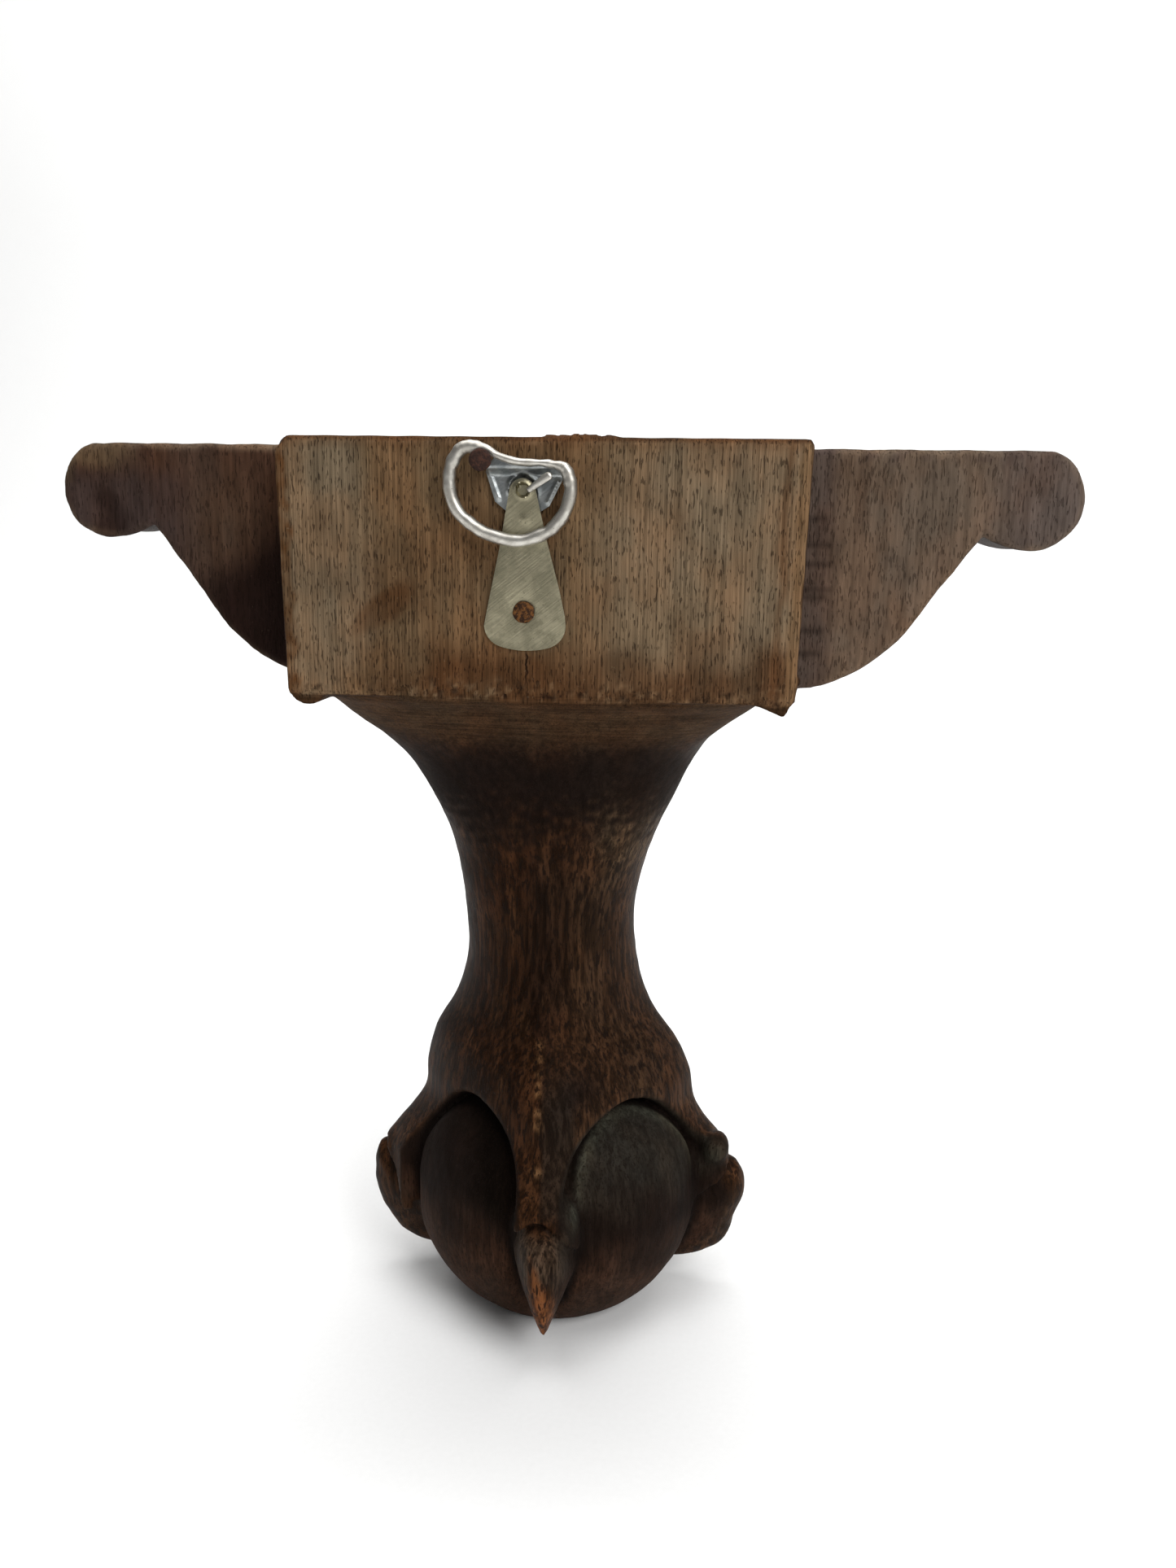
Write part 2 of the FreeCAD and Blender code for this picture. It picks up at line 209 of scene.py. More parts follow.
class Field:
    """A block of space, in millimetres, that holds a distance at each of its grid points."""

    def __init__(self, low, high, voxel):
        self.low = np.array(low, float)
        self.voxel = voxel
        counts = np.ceil((np.array(high) - self.low) / voxel).astype(int) + 1
        axes = [self.low[i] + voxel * np.arange(counts[i]) for i in range(3)]
        self.x, self.y, self.z = (
            a.astype(np.float32).reshape([-1 if i == j else 1 for j in range(3)])
            for i, a in enumerate(axes))
        self.distance = None

    def part(self, low, high):
        """The slices that hold a smaller box, and the coordinates inside it."""
        slices = []
        for i in range(3):
            first = max(int((low[i] - self.low[i]) / self.voxel), 0)
            last = max(int((high[i] - self.low[i]) / self.voxel) + 2, first + 1)
            slices.append(slice(first, last))
        sx, sy, sz = slices
        return tuple(slices), self.x[sx], self.y[:, sy], self.z[:, :, sz]

    def at(self, volume, points):
        """The value of a volume on this grid at each point, between its grid points."""
        place = (points - self.low) / self.voxel
        cell = np.clip(np.floor(place).astype(int), 0, np.array(volume.shape) - 2)
        share = np.clip(place - cell, 0, 1)
        total = np.zeros(len(points))
        for corner in np.ndindex(2, 2, 2):
            weight = np.prod(np.where(corner, share, 1 - share), axis=1)
            index = cell + corner
            total += weight * volume[index[:, 0], index[:, 1], index[:, 2]]
        return total

    def mesh(self, name):
        band = 3.0
        grid = openvdb.FloatGrid(band)
        grid.copyFromArray(np.clip(self.distance / self.voxel, -band, band).astype(np.float32))
        points, quads = grid.convertToQuads(0.0)
        points = points.astype(float) * self.voxel + self.low
        return new_mesh(name, points, quads[:, ::-1])


def new_mesh(name, points, faces):
    """An object whose mesh has these points, given in millimetres."""
    mesh = bpy.data.meshes.new(name)
    points = np.asarray(points, float) * MM
    if isinstance(faces, np.ndarray):
        count, corners = faces.shape
        mesh.vertices.add(len(points))
        mesh.vertices.foreach_set("co", points.astype(np.float32).ravel())
        mesh.loops.add(count * corners)
        mesh.loops.foreach_set("vertex_index", faces.astype(np.int32).ravel())
        mesh.polygons.add(count)
        mesh.polygons.foreach_set("loop_start", np.arange(0, count * corners, corners))
        mesh.update(calc_edges=True)
    else:
        mesh.from_pydata([tuple(p) for p in points], [], faces)
    mesh.validate()
    mesh.shade_smooth()
    piece = bpy.data.objects.new(name, mesh)
    bpy.context.scene.collection.objects.link(piece)
    return piece


def points_of(piece):
    points = np.zeros(len(piece.data.vertices) * 3, np.float32)
    piece.data.vertices.foreach_get("co", points)
    return points.reshape(-1, 3).astype(float) / MM


def ripple(field, size, seed):
    """A slow unevenness from -1 to 1, with bumps about size across."""
    rng = np.random.default_rng(seed)
    total = 0
    waves = 7
    for _ in range(waves):
        turns = rng.uniform(0.5, 1.0, 3) * 2 * math.pi / size
        starts = rng.uniform(0, 2 * math.pi, 3)
        total = total + (np.sin(field.x * turns[0] + starts[0])
                         * np.sin(field.y * turns[1] + starts[1])
                         * np.sin(field.z * turns[2] + starts[2]))
    return (total / math.sqrt(waves)).astype(np.float32)


def egg(field, centre, radii, margin):
    """The distance from an egg shape, in the part of the field around it."""
    radii = np.array(radii, float)
    centre = np.array(centre, float)
    where, x, y, z = field.part(centre - radii - margin, centre + radii + margin)
    n = np.sqrt(((x - centre[0]) / radii[0]) ** 2 + ((y - centre[1]) / radii[1]) ** 2
                + ((z - centre[2]) / radii[2]) ** 2)
    return where, (n - 1) * radii.min()


def chip(field, centre, radii, softness=0.3):
    """Takes an egg-shaped bite out of the wood."""
    where, bite = egg(field, centre, radii, 1)
    field.distance[where] = smooth_max(field.distance[where], -bite, softness)


def lump(field, centre, radii, softness):
    """Adds an egg-shaped swelling to the wood."""
    where, swelling = egg(field, centre, radii, 2)
    field.distance[where] = smooth_min(field.distance[where], swelling, softness)


def bore(field, node):
    """Cuts the hole that a dowel stands in. Its length is the longest side of the node's box."""
    low, high = box_mm(node)
    axis = int(np.argmax(high - low))
    middle = (low + high) / 2
    radius = (high - low)[(axis + 1) % 3] / 2
    where, x, y, z = field.part(low - 2, high + 2)
    across = [c - m for i, (c, m) in enumerate(zip((x, y, z), middle)) if i != axis]
    wall = np.sqrt(across[0] ** 2 + across[1] ** 2) - radius
    along = np.abs((x, y, z)[axis] - middle[axis]) - (high - low)[axis] / 2 - 1.0
    field.distance[where] = np.maximum(field.distance[where], -np.maximum(wall, along))


def ankle(field):
    """The knee's swelling front, the cove, the ankle and the web that the toes grow from."""
    x, y, z = field.x, field.y, field.z
    half = profile(HALF_WIDTH, z)
    back, front = profile(BACK_REACH, z), -profile(FRONT_REACH, z)
    middle, depth = (back + front) / 2, (back - front) / 2
    power = profile(SQUARENESS, z)
    u = np.sqrt((x - profile(LEAN, z)) ** 2 + RIDGE_ROUNDING ** 2) / half
    v = np.sqrt((y - middle) ** 2 + RIDGE_ROUNDING ** 2) / depth
    reach = (u ** power + v ** power) ** (1 / power)
    return np.maximum((reach - 1) * np.minimum(half, depth), z - TOP)


def ball(field):
    """The ball, fuller above its middle than below it."""
    x, y, z = field.x, field.y, field.z
    rise = z - BALL_CENTRE
    below = (np.minimum(rise, 0) / BALL_BELOW) ** 2
    above = (np.maximum(rise, 0) / BALL_ABOVE) ** BALL_FULLNESS
    return (np.sqrt((x ** 2 + y ** 2) / BALL_RADIUS ** 2 + below + above) - 1) * BALL_BELOW


def arches(field):
    """Distance from the edge of the nearest arch, negative where the ball shows through it."""
    x, y, z = field.x, field.y, field.z
    turn = np.arctan2(x, y)
    rise = np.maximum(z - ARCH_SPRING, 0) / ARCH_HEIGHT
    to_top = smooth_step(ARCH_SPRING, ARCH_SPRING + ARCH_HEIGHT, z)
    widening = TOE_NARROWING * smooth_step(46, 36, z)
    nearest = 1e3
    for at_foot, at_top, half in ARCHES:
        middle = np.radians(at_foot + (at_top - at_foot) * to_top)
        away = (turn - middle + math.pi) % (2 * math.pi) - math.pi
        reach = np.sqrt((away * BALL_RADIUS / (half + widening)) ** 2 + rise ** 2)
        nearest = np.minimum(nearest, (reach - 1) * half)
    return nearest.astype(np.float32)


def foot(field, web):
    """Opens the arches over the ball, and ends each toe in a curved cuticle."""
    x, y, z = field.x, field.y, field.z
    arch = arches(field)
    web = smooth_max(web, -arch, 1.3)
    across = np.minimum(np.abs(x), np.abs(y))
    top = CUTICLE_TOP - SIDE_CUTICLE_DROP * (np.abs(x) > np.abs(y))
    cuticle = top - CUTICLE_CURVE * across ** 2
    web = smooth_max(web, cuticle - z, 1.4)
    groove = GROOVE_DEPTH * np.exp(-((arch + 0.3) / GROOVE_WIDTH) ** 2) * smooth_step(3, 16, z)
    return smooth_min(web, ball(field) + groove, 0.5), cuticle


def claw(field, turn, reaches, halves, tip, cuticle):
    """One claw: a horn that stands out of the ball, ends in a point and starts under a cuticle."""
    ux, uy = math.sin(math.radians(turn)), math.cos(math.radians(turn))
    middle = np.array((ux, uy, 0)) * 36.0
    where, x, y, z = field.part(middle - (19, 19, 0) + (0, 0, 2), middle + (19, 19, 48))
    out = x * ux + y * uy
    across = x * uy - y * ux
    reach = profile(reaches, z)
    half = profile(halves, z)
    root = 25.0
    n = np.sqrt((across / half) ** 2 + (np.maximum(out - root, 0) / (reach - root)) ** 2.3)
    horn = (n - 1) * np.minimum(half, 5.0)
    horn = smooth_max(horn, np.maximum(z - CLAW_TOP, tip - z), 1.2)
    wood = smooth_min(field.distance[where], horn, 0.6)
    slope = np.sqrt(1 + (2 * CUTICLE_CURVE * across) ** 2)
    lip = np.exp(-((z - cuticle[where[0], where[1]] + 0.6) / slope / 0.75) ** 2)
    lip = lip * smooth_step(half + 2.0, half, np.abs(across)) * smooth_step(33, 36, out)
    field.distance[where] = wood + LIP_DEPTH * lip


def block_half(z):
    """Half the block's width at a height, before its skew."""
    return BLOCK_HALF - (TOP - z) / BLOCK_HEIGHT * BLOCK_TAPER


def block(field):
    """The sawn knee block, narrower at its foot, with rounded edges."""
    x, y, z = field.x, field.y, field.z
    half = block_half(z)
    middle, depth = (BACK + BLOCK_FRONT) / 2, (BACK - BLOCK_FRONT) / 2
    px = np.maximum(x - BLOCK_SKEW, -x) - half + BLOCK_EDGE
    py = np.abs(y - middle) - depth + BLOCK_EDGE
    pz = np.abs(z - (TOP + BLOCK_FOOT) / 2) - BLOCK_HEIGHT / 2 + BLOCK_EDGE * 0.6
    outside = np.sqrt(np.maximum(px, 0) ** 2 + np.maximum(py, 0) ** 2 + np.maximum(pz, 0) ** 2)
    inside = np.minimum(np.maximum(np.maximum(px, py), pz), 0)
    return outside + inside - BLOCK_EDGE


def lower_nubs(field):
    """The ends of the old moulding at the block's lower corners: one rounded, one a pointed chip."""
    foot_half = BLOCK_HALF - BLOCK_TAPER
    low = np.array((-BLOCK_HALF - 2, BLOCK_FRONT - 2, BLOCK_FOOT - 5))
    high = np.array((BLOCK_HALF + 2, BACK + 2, BLOCK_FOOT + 10))
    where, x, y, z = field.part(low, high)
    ends = np.maximum(y - BACK + 1.0, BLOCK_FRONT - y)
    round_nub = (np.sqrt(((x - foot_half + 2.9) / 3.7) ** 2
                         + ((z - BLOCK_FOOT - 0.6) / 3.1) ** 2) - 1) * 3.2
    slope_in, slope_out = 0.42, 2.6
    tip_x, tip_z = -foot_half + 1.9, BLOCK_FOOT - 2.9
    pointed = np.maximum((x - tip_x) * slope_in, (tip_x - x) * slope_out) - (z - tip_z)
    pointed = np.maximum(pointed * 0.6, z - BLOCK_FOOT - 5)
    nubs = np.maximum(np.minimum(round_nub, pointed), ends)
    field.distance[where] = smooth_min(field.distance[where], nubs, 0.5)


def edge_wear(field, rng):
    """Small chips along the block's back edges, and the torn fibres of its lower edge."""
    for _ in range(26):
        place = rng.uniform(BLOCK_FOOT + 3, TOP - 2)
        side = rng.choice((-1, 1))
        half = block_half(place) + BLOCK_SKEW * (side > 0)
        size = rng.uniform(0.5, 1.1)
        chip(field, (side * (half + 0.2), BACK + 0.3, place), (size, size, rng.uniform(1.5, 5.0)))
    chip(field, (BLOCK_HALF + BLOCK_SKEW + 0.6, BACK + 0.5, TOP + 0.6), (3.0, 5.0, 2.6), 0.8)
    for _ in range(70):
        place = rng.uniform(-BLOCK_HALF + 5, BLOCK_HALF - 5)
        size = rng.uniform(0.4, 1.1)
        chip(field, (place, BACK + 0.5, BLOCK_FOOT + rng.uniform(-0.4, 0.9)),
             (rng.uniform(0.5, 1.6), size + 0.3, size), 0.2)
    chip(field, (2.0, BACK + 0.8, BLOCK_FOOT - 0.4), (3.6, 1.7, 1.3), 0.2)
    chip(field, (-4.4, BACK + 0.6, BLOCK_FOOT + 0.6), (0.5, 1.2, 2.6), 0.2)
    for _ in range(24):
        place = rng.uniform(-BLOCK_HALF + 2, BLOCK_HALF - 2)
        size = rng.uniform(0.3, 0.7)
        chip(field, (place, BACK + 0.2, TOP + 0.2), (rng.uniform(1.0, 3.5), size, size), 0.2)


def torn_top(field, rng):
    """Fibres torn up round the broken seat dowel."""
    low, high = box_mm("seat_dowel")
    middle = (low + high) / 2
    for _ in range(34):
        away, angle = rng.uniform(4.6, 6.9), rng.uniform(0, 2 * math.pi)
        centre = (middle[0] + away * math.cos(angle), middle[1] + away * math.sin(angle), TOP)
        lump(field, centre, (rng.uniform(0.5, 1.3), rng.uniform(0.5, 1.3), rng.uniform(0.3, 0.8)), 0.3)
    for _ in range(30):
        centre = (rng.uniform(-14, -1), BACK - rng.uniform(0.8, 4), TOP)
        lump(field, centre, (rng.uniform(0.8, 2.0), rng.uniform(0.7, 1.3), rng.uniform(0.7, 1.3)), 0.2)


def hollowness(field, radius):
    """How much of the space near each grid point is wood: 0.5 on a flat face, more in a hollow."""
    solid = (field.distance < 0).astype(np.float32)
    reach = max(int(round(radius / field.voxel)), 1)
    for axis in range(3):
        total = np.cumsum(np.pad(solid, [(reach + 1, reach) if i == axis else (0, 0) for i in range(3)],
                                 mode="edge"), axis=axis, dtype=np.float64)
        size = solid.shape[axis]
        ahead = np.take(total, np.arange(2 * reach + 1, size + 2 * reach + 1), axis=axis)
        behind = np.take(total, np.arange(0, size), axis=axis)
        solid = ((ahead - behind) / (2 * reach + 1)).astype(np.float32)
    return solid


def leg_carving():
    rng = np.random.default_rng(12)
    field = Field((-53, -49, -2), (53, 48.5, 206), LEG_VOXEL)
    field.distance, cuticle = foot(field, ankle(field))
    for turn, reaches, halves, tip in CLAWS:
        claw(field, turn, reaches, halves, tip, cuticle)
    lump(field, RIGHT_KNUCKLE, (3.2, 4.2, 3.6), 1.8)
    field.distance += 0.13 * ripple(field, 14.0, 3) + 0.05 * ripple(field, 5.0, 4)
    field.distance = np.maximum(field.distance, -field.z)
    sawn = block(field) + 0.06 * ripple(field, 7.0, 5)
    field.distance = np.minimum(field.distance, sawn)
    lower_nubs(field)
    edge_wear(field, rng)
    torn_top(field, rng)
    for node in frame["nodes"]:
        if node.endswith("dowel"):
            bore(field, node)
    return field.mesh("leg_carving"), field


def arc(start, through, end, steps=14):
    """Points along the circle through three points, from the first to just before the last."""
    (ax, ay), (bx, by), (cx, cy) = start, through, end
    d = 2 * (ax * (by - cy) + bx * (cy - ay) + cx * (ay - by))
    a2, b2, c2 = ax * ax + ay * ay, bx * bx + by * by, cx * cx + cy * cy
    mx = (a2 * (by - cy) + b2 * (cy - ay) + c2 * (ay - by)) / d
    my = (a2 * (cx - bx) + b2 * (ax - cx) + c2 * (bx - ax)) / d
    first, mid, last = (math.atan2(py - my, px - mx) for px, py in (start, through, end))
    turn = (last - first) % (2 * math.pi)
    if (mid - first) % (2 * math.pi) > turn:
        turn -= 2 * math.pi
    radius = math.hypot(ax - mx, ay - my)
    return [(mx + radius * math.cos(first + turn * i / steps),
             my + radius * math.sin(first + turn * i / steps)) for i in range(steps)]


def outline_distance(outline, u, v):
    """Distance from each place to a closed outline, negative inside it."""
    outline = np.array(outline, float)
    shape = np.broadcast(u, v).shape
    u, v = np.broadcast_to(u, shape).ravel(), np.broadcast_to(v, shape).ravel()
    nearest = np.full(u.shape, 1e9)
    inside = np.zeros(u.shape, bool)
    for (au, av), (bu, bv) in zip(outline, np.roll(outline, -1, axis=0)):
        du, dv = bu - au, bv - av
        share = np.clip(((u - au) * du + (v - av) * dv) / max(du * du + dv * dv, 1e-12), 0, 1)
        nearest = np.minimum(nearest, (u - au - share * du) ** 2 + (v - av - share * dv) ** 2)
        crosses = ((av > v) != (bv > v)) & (u < au + (v - av) * du / (dv if dv else 1e-12))
        inside ^= crosses
    return (np.sqrt(nearest) * np.where(inside, -1, 1)).reshape(shape).astype(np.float32)


def bracket_outline():
    """The scroll, as reach from the block and drop from the top."""
    lobe_foot = (44.0, LOBE_HEIGHT)
    lobe_top = (BRACKET_REACH - 6.5, 0.0)
    return ([(-4.0, 0.0)] + arc(lobe_top, (BRACKET_REACH, 8.6), lobe_foot, 24)
            + arc(lobe_foot, (38.5, 18.7), CUSP, 8) + [CUSP]
            + arc(BRACKET_BEND, (13.8, 41.5), (-0.6, ROOT_DROP)) + [(-4.0, ROOT_DROP)])


def bracket_board(side, node):
    """A scrolled bracket with a rounded lobe, worn edges and the holes of its two dowels."""
    low, high = box_mm(node)
    rng = np.random.default_rng(31 + side)
    field = Field(low - 4, high + 4, BOARD_VOXEL)
    reach = side * (field.x + BRACKET_SHIFT) - BLOCK_HALF
    drop = TOP - field.z
    scroll = outline_distance(bracket_outline(), reach, drop)
    deep = BRACKET_BACK - field.y
    flare = LOBE_FLARES[side] * smooth_step(0.5, 6.0, deep)
    flare = flare * smooth_step(30, 36, reach) * smooth_step(9, 17, drop)
    thick = ROOT_THICK + (TIP_THICK - ROOT_THICK) * np.clip(reach / BRACKET_REACH, 0, 1)
    faces = np.maximum(-deep, deep - thick)
    wood = smooth_max(scroll - flare, faces, 1.8)
    wood = wood + 0.14 * ripple(field, 8.0, 41 + side) + 0.05 * ripple(field, 3.0, 43 + side)
    block_side = BLOCK_HALF - side * field.x - BLOCK_TAPER * drop / BLOCK_HEIGHT
    field.distance = np.maximum(wood, block_side)
    for _ in range(16):
        away, size = rng.uniform(2, BRACKET_REACH - 8), rng.uniform(0.4, 0.9)
        chip(field, (side * (BLOCK_HALF + away), BRACKET_BACK + 0.2, TOP + 0.1),
             (rng.uniform(1, 4), size, size), 0.3)
    for name in frame["nodes"]:
        if name.startswith(node) and name != node:
            bore(field, name)
    name = "left_bracket_board" if side > 0 else "right_bracket_board"
    return field.mesh(name), field


def on_back(across, up, out):
    """A point of the hanger, from its place on the back of the block."""
    return (RIVET[0] - across, BACK + out, RIVET[2] + up)


def smooth_loop(corners, steps):
    """Points along a closed curve through the corners."""
    corners = np.array(corners, float)
    points = []
    for i in range(len(corners)):
        a, b, c, d = (corners[(i + j) % len(corners)] for j in (-1, 0, 1, 2))
        for step in range(steps):
            t = step / steps
            points.append(0.5 * (2 * b + (c - a) * t + (2 * a - 5 * b + 4 * c - d) * t * t
                                 + (3 * b - a - 3 * c + d) * t ** 3))
    return np.array(points)


def strip_out(up):
    share = (up - STRIP_END_UP) / (STRIP_TIP - STRIP_END_UP)
    return 0.05 + (STRIP_TIP_OUT - 0.05) * share


def sheet_metal(name, outline, height, spacing):
    """Thin metal cut to an outline. height gives how far its wood side stands out at each place."""
    outline = np.array(outline, float)
    sides = np.linalg.norm(np.roll(outline, -1, axis=0) - outline, axis=1)
    border = []
    for point, ahead, side in zip(outline, np.roll(outline, -1, axis=0), sides):
        count = max(int(round(side / spacing)), 1)
        border += [point + (ahead - point) * i / count for i in range(count)]
    border = np.array(border)
    low, high = border.min(0), border.max(0)
    u, v = np.meshgrid(np.arange(low[0], high[0], spacing), np.arange(low[1], high[1], spacing))
    u, v = u.ravel(), v.ravel()
    inner = outline_distance(outline, u, v) < -0.45 * spacing
    flat = np.vstack([border, np.column_stack([u[inner], v[inner]])])
    made = delaunay_2d_cdt([Vector(p) for p in flat], [], [list(range(len(border)))], 1, 1e-5)
    flat = np.array([tuple(p) for p in made[0]])
    faces = [tuple(f) for f in made[2]]
    edge = outline_distance(outline, flat[:, 0], flat[:, 1])
    out = height(flat[:, 0], flat[:, 1], -edge)
    near = np.array([on_back(*p) for p in np.column_stack([flat, out])])
    far = near + (0, SHEET, 0)
    count = len(flat)
    edges = [pair for face in faces for pair in zip(face, face[1:] + face[:1])]
    both_ways = set(edges)
    rim = [pair for pair in edges if pair[::-1] not in both_ways]
    solid = [tuple(v + count for v in f[::-1]) for f in faces] + faces
    solid += [(a, a + count, b + count, b) for a, b in rim]
    piece = new_mesh(name, np.vstack([near, far]), solid)
    face_outwards(piece)
    piece.data.set_sharp_from_angle(angle=math.radians(42))
    return piece


def face_outwards(piece):
    """Turns the faces of a closed mesh outwards."""
    made = bmesh.new()
    made.from_mesh(piece.data)
    bmesh.ops.recalc_face_normals(made, faces=made.faces)
    made.to_mesh(piece.data)
    made.free()


def bump_line(u, v, start, end, width):
    """1 along a line between two places, fading to 0 at either side."""
    du, dv = end[0] - start[0], end[1] - start[1]
    share = np.clip(((u - start[0]) * du + (v - start[1]) * dv) / (du * du + dv * dv), 0, 1)
    away = np.hypot(u - start[0] - share * du, v - start[1] - share * dv)
    return np.exp(-(away / width) ** 2)


def tear_strip_sheet():
    """The strip torn from the lid, with the hollow rivet at its tip and a dimple below it."""
    outline = (arc((-2.5, 0.3), (0.0, STRIP_TIP), (2.5, 0.3), 16)
               + [(2.5, 0.3), (4.6, -9.0), (7.0, -18.0), (8.15, -23.2)]
               + arc((8.3, -25.1), (7.4, -27.7), (4.8, -29.4), 8)
               + arc((4.8, -29.4), (0.6, -29.95), (-4.1, -29.3), 8)
               + arc((-4.1, -29.3), (-6.6, -27.8), (-7.6, -25.2), 8)
               + [(-7.6, -25.2), (-7.2, -23.2), (-6.1, -18.0), (-4.5, -10.4), (-2.9, -1.8)])

    def height(u, v, inside):
        r = np.hypot(u, v - 0.35)
        out = strip_out(v) + 0.08 * np.sin(v * 0.35 + 2.2)
        out = out + 0.28 * np.exp(-((r - 1.5) / 0.28) ** 2) - 0.75 * smooth_step(1.32, 1.05, r)
        out = out + 0.22 * np.exp(-(np.hypot(u - 0.5, v + 4.9) / 0.75) ** 2)
        out = out - NAIL_DENT * np.exp(-(np.hypot(u - LOWER_NAIL[0], v - LOWER_NAIL[1]) / 2.9) ** 2)
        out = out - 0.10 * np.exp(-inside / 0.35) * smooth_step(-2, -8, v)
        return np.maximum(out, 0.04)

    return sheet_metal("tear_strip_sheet", outline, height, 0.3)


def nose_plate_sheet():
    """The ring tab's nose: a flat with a bead round the rivet, rolled sides, and a step up."""
    outline = [(-5.0, 6.6), (-7.1, 3.6), (-5.4, -1.8), (-3.4, -3.4), (3.1, -3.7), (5.0, -2.5),
               (7.5, 2.4), (7.0, 4.0), (4.2, 5.2), (-0.7, 5.4), (-3.7, 5.9)]

    def height(u, v, inside):
        r = np.hypot(u, v - 0.6)
        out = PLATE_OUT + (RING_OUT - 0.55 - PLATE_OUT) * smooth_step(2.9, 4.6, v)
        free = smooth_step(-0.6, 1.0, v) + smooth_step(2.6, 3.2, np.abs(u))
        out = out + 0.42 * np.exp(-((r - 2.75) / 0.42) ** 2) * np.clip(free, 0, 1)
        out = out + 0.4 * bump_line(u, v, (-6.4, 3.4), (-4.7, -1.2), 0.34)
        out = out + 0.32 * bump_line(u, v, (6.6, 2.2), (4.7, -1.8), 0.34)
        return out

    return sheet_metal("nose_plate_sheet", outline, height, 0.28)


def tube(name, path, wide, deep, closed, sides=14):
    """A wire along a path of across, up and out. wide and deep are its half sizes at each point."""
    path = np.array(path, float)
    count = len(path)
    if closed:
        along = np.roll(path, -1, axis=0) - np.roll(path, 1, axis=0)
    else:
        along = np.gradient(path, axis=0)
    along /= np.linalg.norm(along, axis=1)[:, None]
    outward = np.array((0.0, 0.0, 1.0))
    sideways = np.cross(along, outward)
    sideways /= np.linalg.norm(sideways, axis=1)[:, None]
    over = np.cross(sideways, along)
    points, faces = [], []
    for i in range(count):
        for k in range(sides):
            angle = 2 * math.pi * k / sides
            at = (path[i] + sideways[i] * wide[i] * math.cos(angle)
                  + over[i] * deep[i] * math.sin(angle))
            points.append(on_back(*at))
    for i in range(count if closed else count - 1):
        for k in range(sides):
            a, b = i * sides + k, i * sides + (k + 1) % sides
            c, d = ((i + 1) % count) * sides + (k + 1) % sides, ((i + 1) % count) * sides + k
            faces.append((a, b, c, d))
    if not closed:
        faces += [tuple(range(sides)), tuple((count - 1) * sides + k for k in range(sides))]
    piece = new_mesh(name, points, faces)
    face_outwards(piece)
    return piece


def ring_wire():
    """The ring's wire, a D whose top is dented down beside the nail and pinched thin there."""
    corners = [(-13.8, 1.7), (-13.4, 4.6), (-11.9, 7.2), (-10.5, 8.0), (-8.7, 8.0), (-6.6, 7.6),
               (-4.4, 6.4), (-0.8, 5.4), (4.0, 5.2), (6.8, 4.8), (8.2, 4.1), (9.0, 2.2), (9.2, -0.2),
               (8.2, -3.5), (6.6, -5.8), (4.4, -7.6), (-0.6, -9.1), (-6.4, -7.9), (-9.6, -6.1),
               (-12.0, -4.0), (-13.4, -1.2)]
    flat = smooth_loop(corners, 12)
    rng = np.random.default_rng(8)
    turn = np.linspace(0, 2 * math.pi, len(flat), endpoint=False)
    pinch = smooth_step(5.6, 3.2, np.hypot((flat[:, 0] + 0.2) * 0.55, flat[:, 1] - 6.0))
    hammered = sum(rng.uniform(-1, 1) * np.sin(turn * k + rng.uniform(0, 6)) for k in range(9, 33, 3))
    wide = WIRE_RADIUS * (1 - 0.42 * pinch) + 0.035 * hammered
    deep = WIRE_RADIUS * (1 - 0.15 * pinch) + 0.02 * hammered
    out = RING_OUT + 0.08 * np.sin(turn * 2)
    return tube("ring_wire", np.column_stack([flat, out]), wide, deep, True, 20)


def bent_tongue():
    """The little tongue of the tab, bent up over the rivet."""
    share = np.linspace(0, 1, 15)
    across, up = 1.0 + 4.6 * share, 0.2 + 3.1 * share
    out = 2.15 + 0.75 * np.sin(share * math.pi * 0.62)
    rounded = np.sqrt(np.clip(1 - np.clip((share - 0.88) / 0.12, 0, 1) ** 2, 0.02, 1))
    wide = (0.55 + 0.30 * share) * rounded
    return tube("bent_tongue", np.column_stack([across, up, out]), wide, 0.28 * rounded, False, 12)


def lathe(name, place, rings, seed, roughness, sides=40):
    """A turned piece on an axis square to the back. rings are (radius, out) from its point."""
    rng = np.random.default_rng(seed)
    waves = [(rng.uniform(-1, 1), rng.uniform(0, 6)) for _ in range(2, 9)]
    points, faces = [], []
    for radius, out in rings:
        for k in range(sides):
            angle = 2 * math.pi * k / sides
            wobble = sum(w * math.sin(n * angle + s + out * 2) for n, (w, s) in enumerate(waves, 2))
            away = radius * (1 + roughness * wobble)
            lift = roughness * 0.9 * wobble * (radius > 1.0)
            points.append(on_back(place[0] + away * math.cos(angle), place[1] + away * math.sin(angle),
                                  out + lift * 0.4))
    for i in range(len(rings) - 1):
        for k in range(sides):
            a, b = i * sides + k, i * sides + (k + 1) % sides
            faces.append((a, b, b + sides, a + sides))
    faces += [tuple(range(sides)), tuple((len(rings) - 1) * sides + k for k in range(sides))]
    piece = new_mesh(name, points, faces)
    face_outwards(piece)
    piece.data.set_sharp_from_angle(angle=math.radians(50))
    return piece


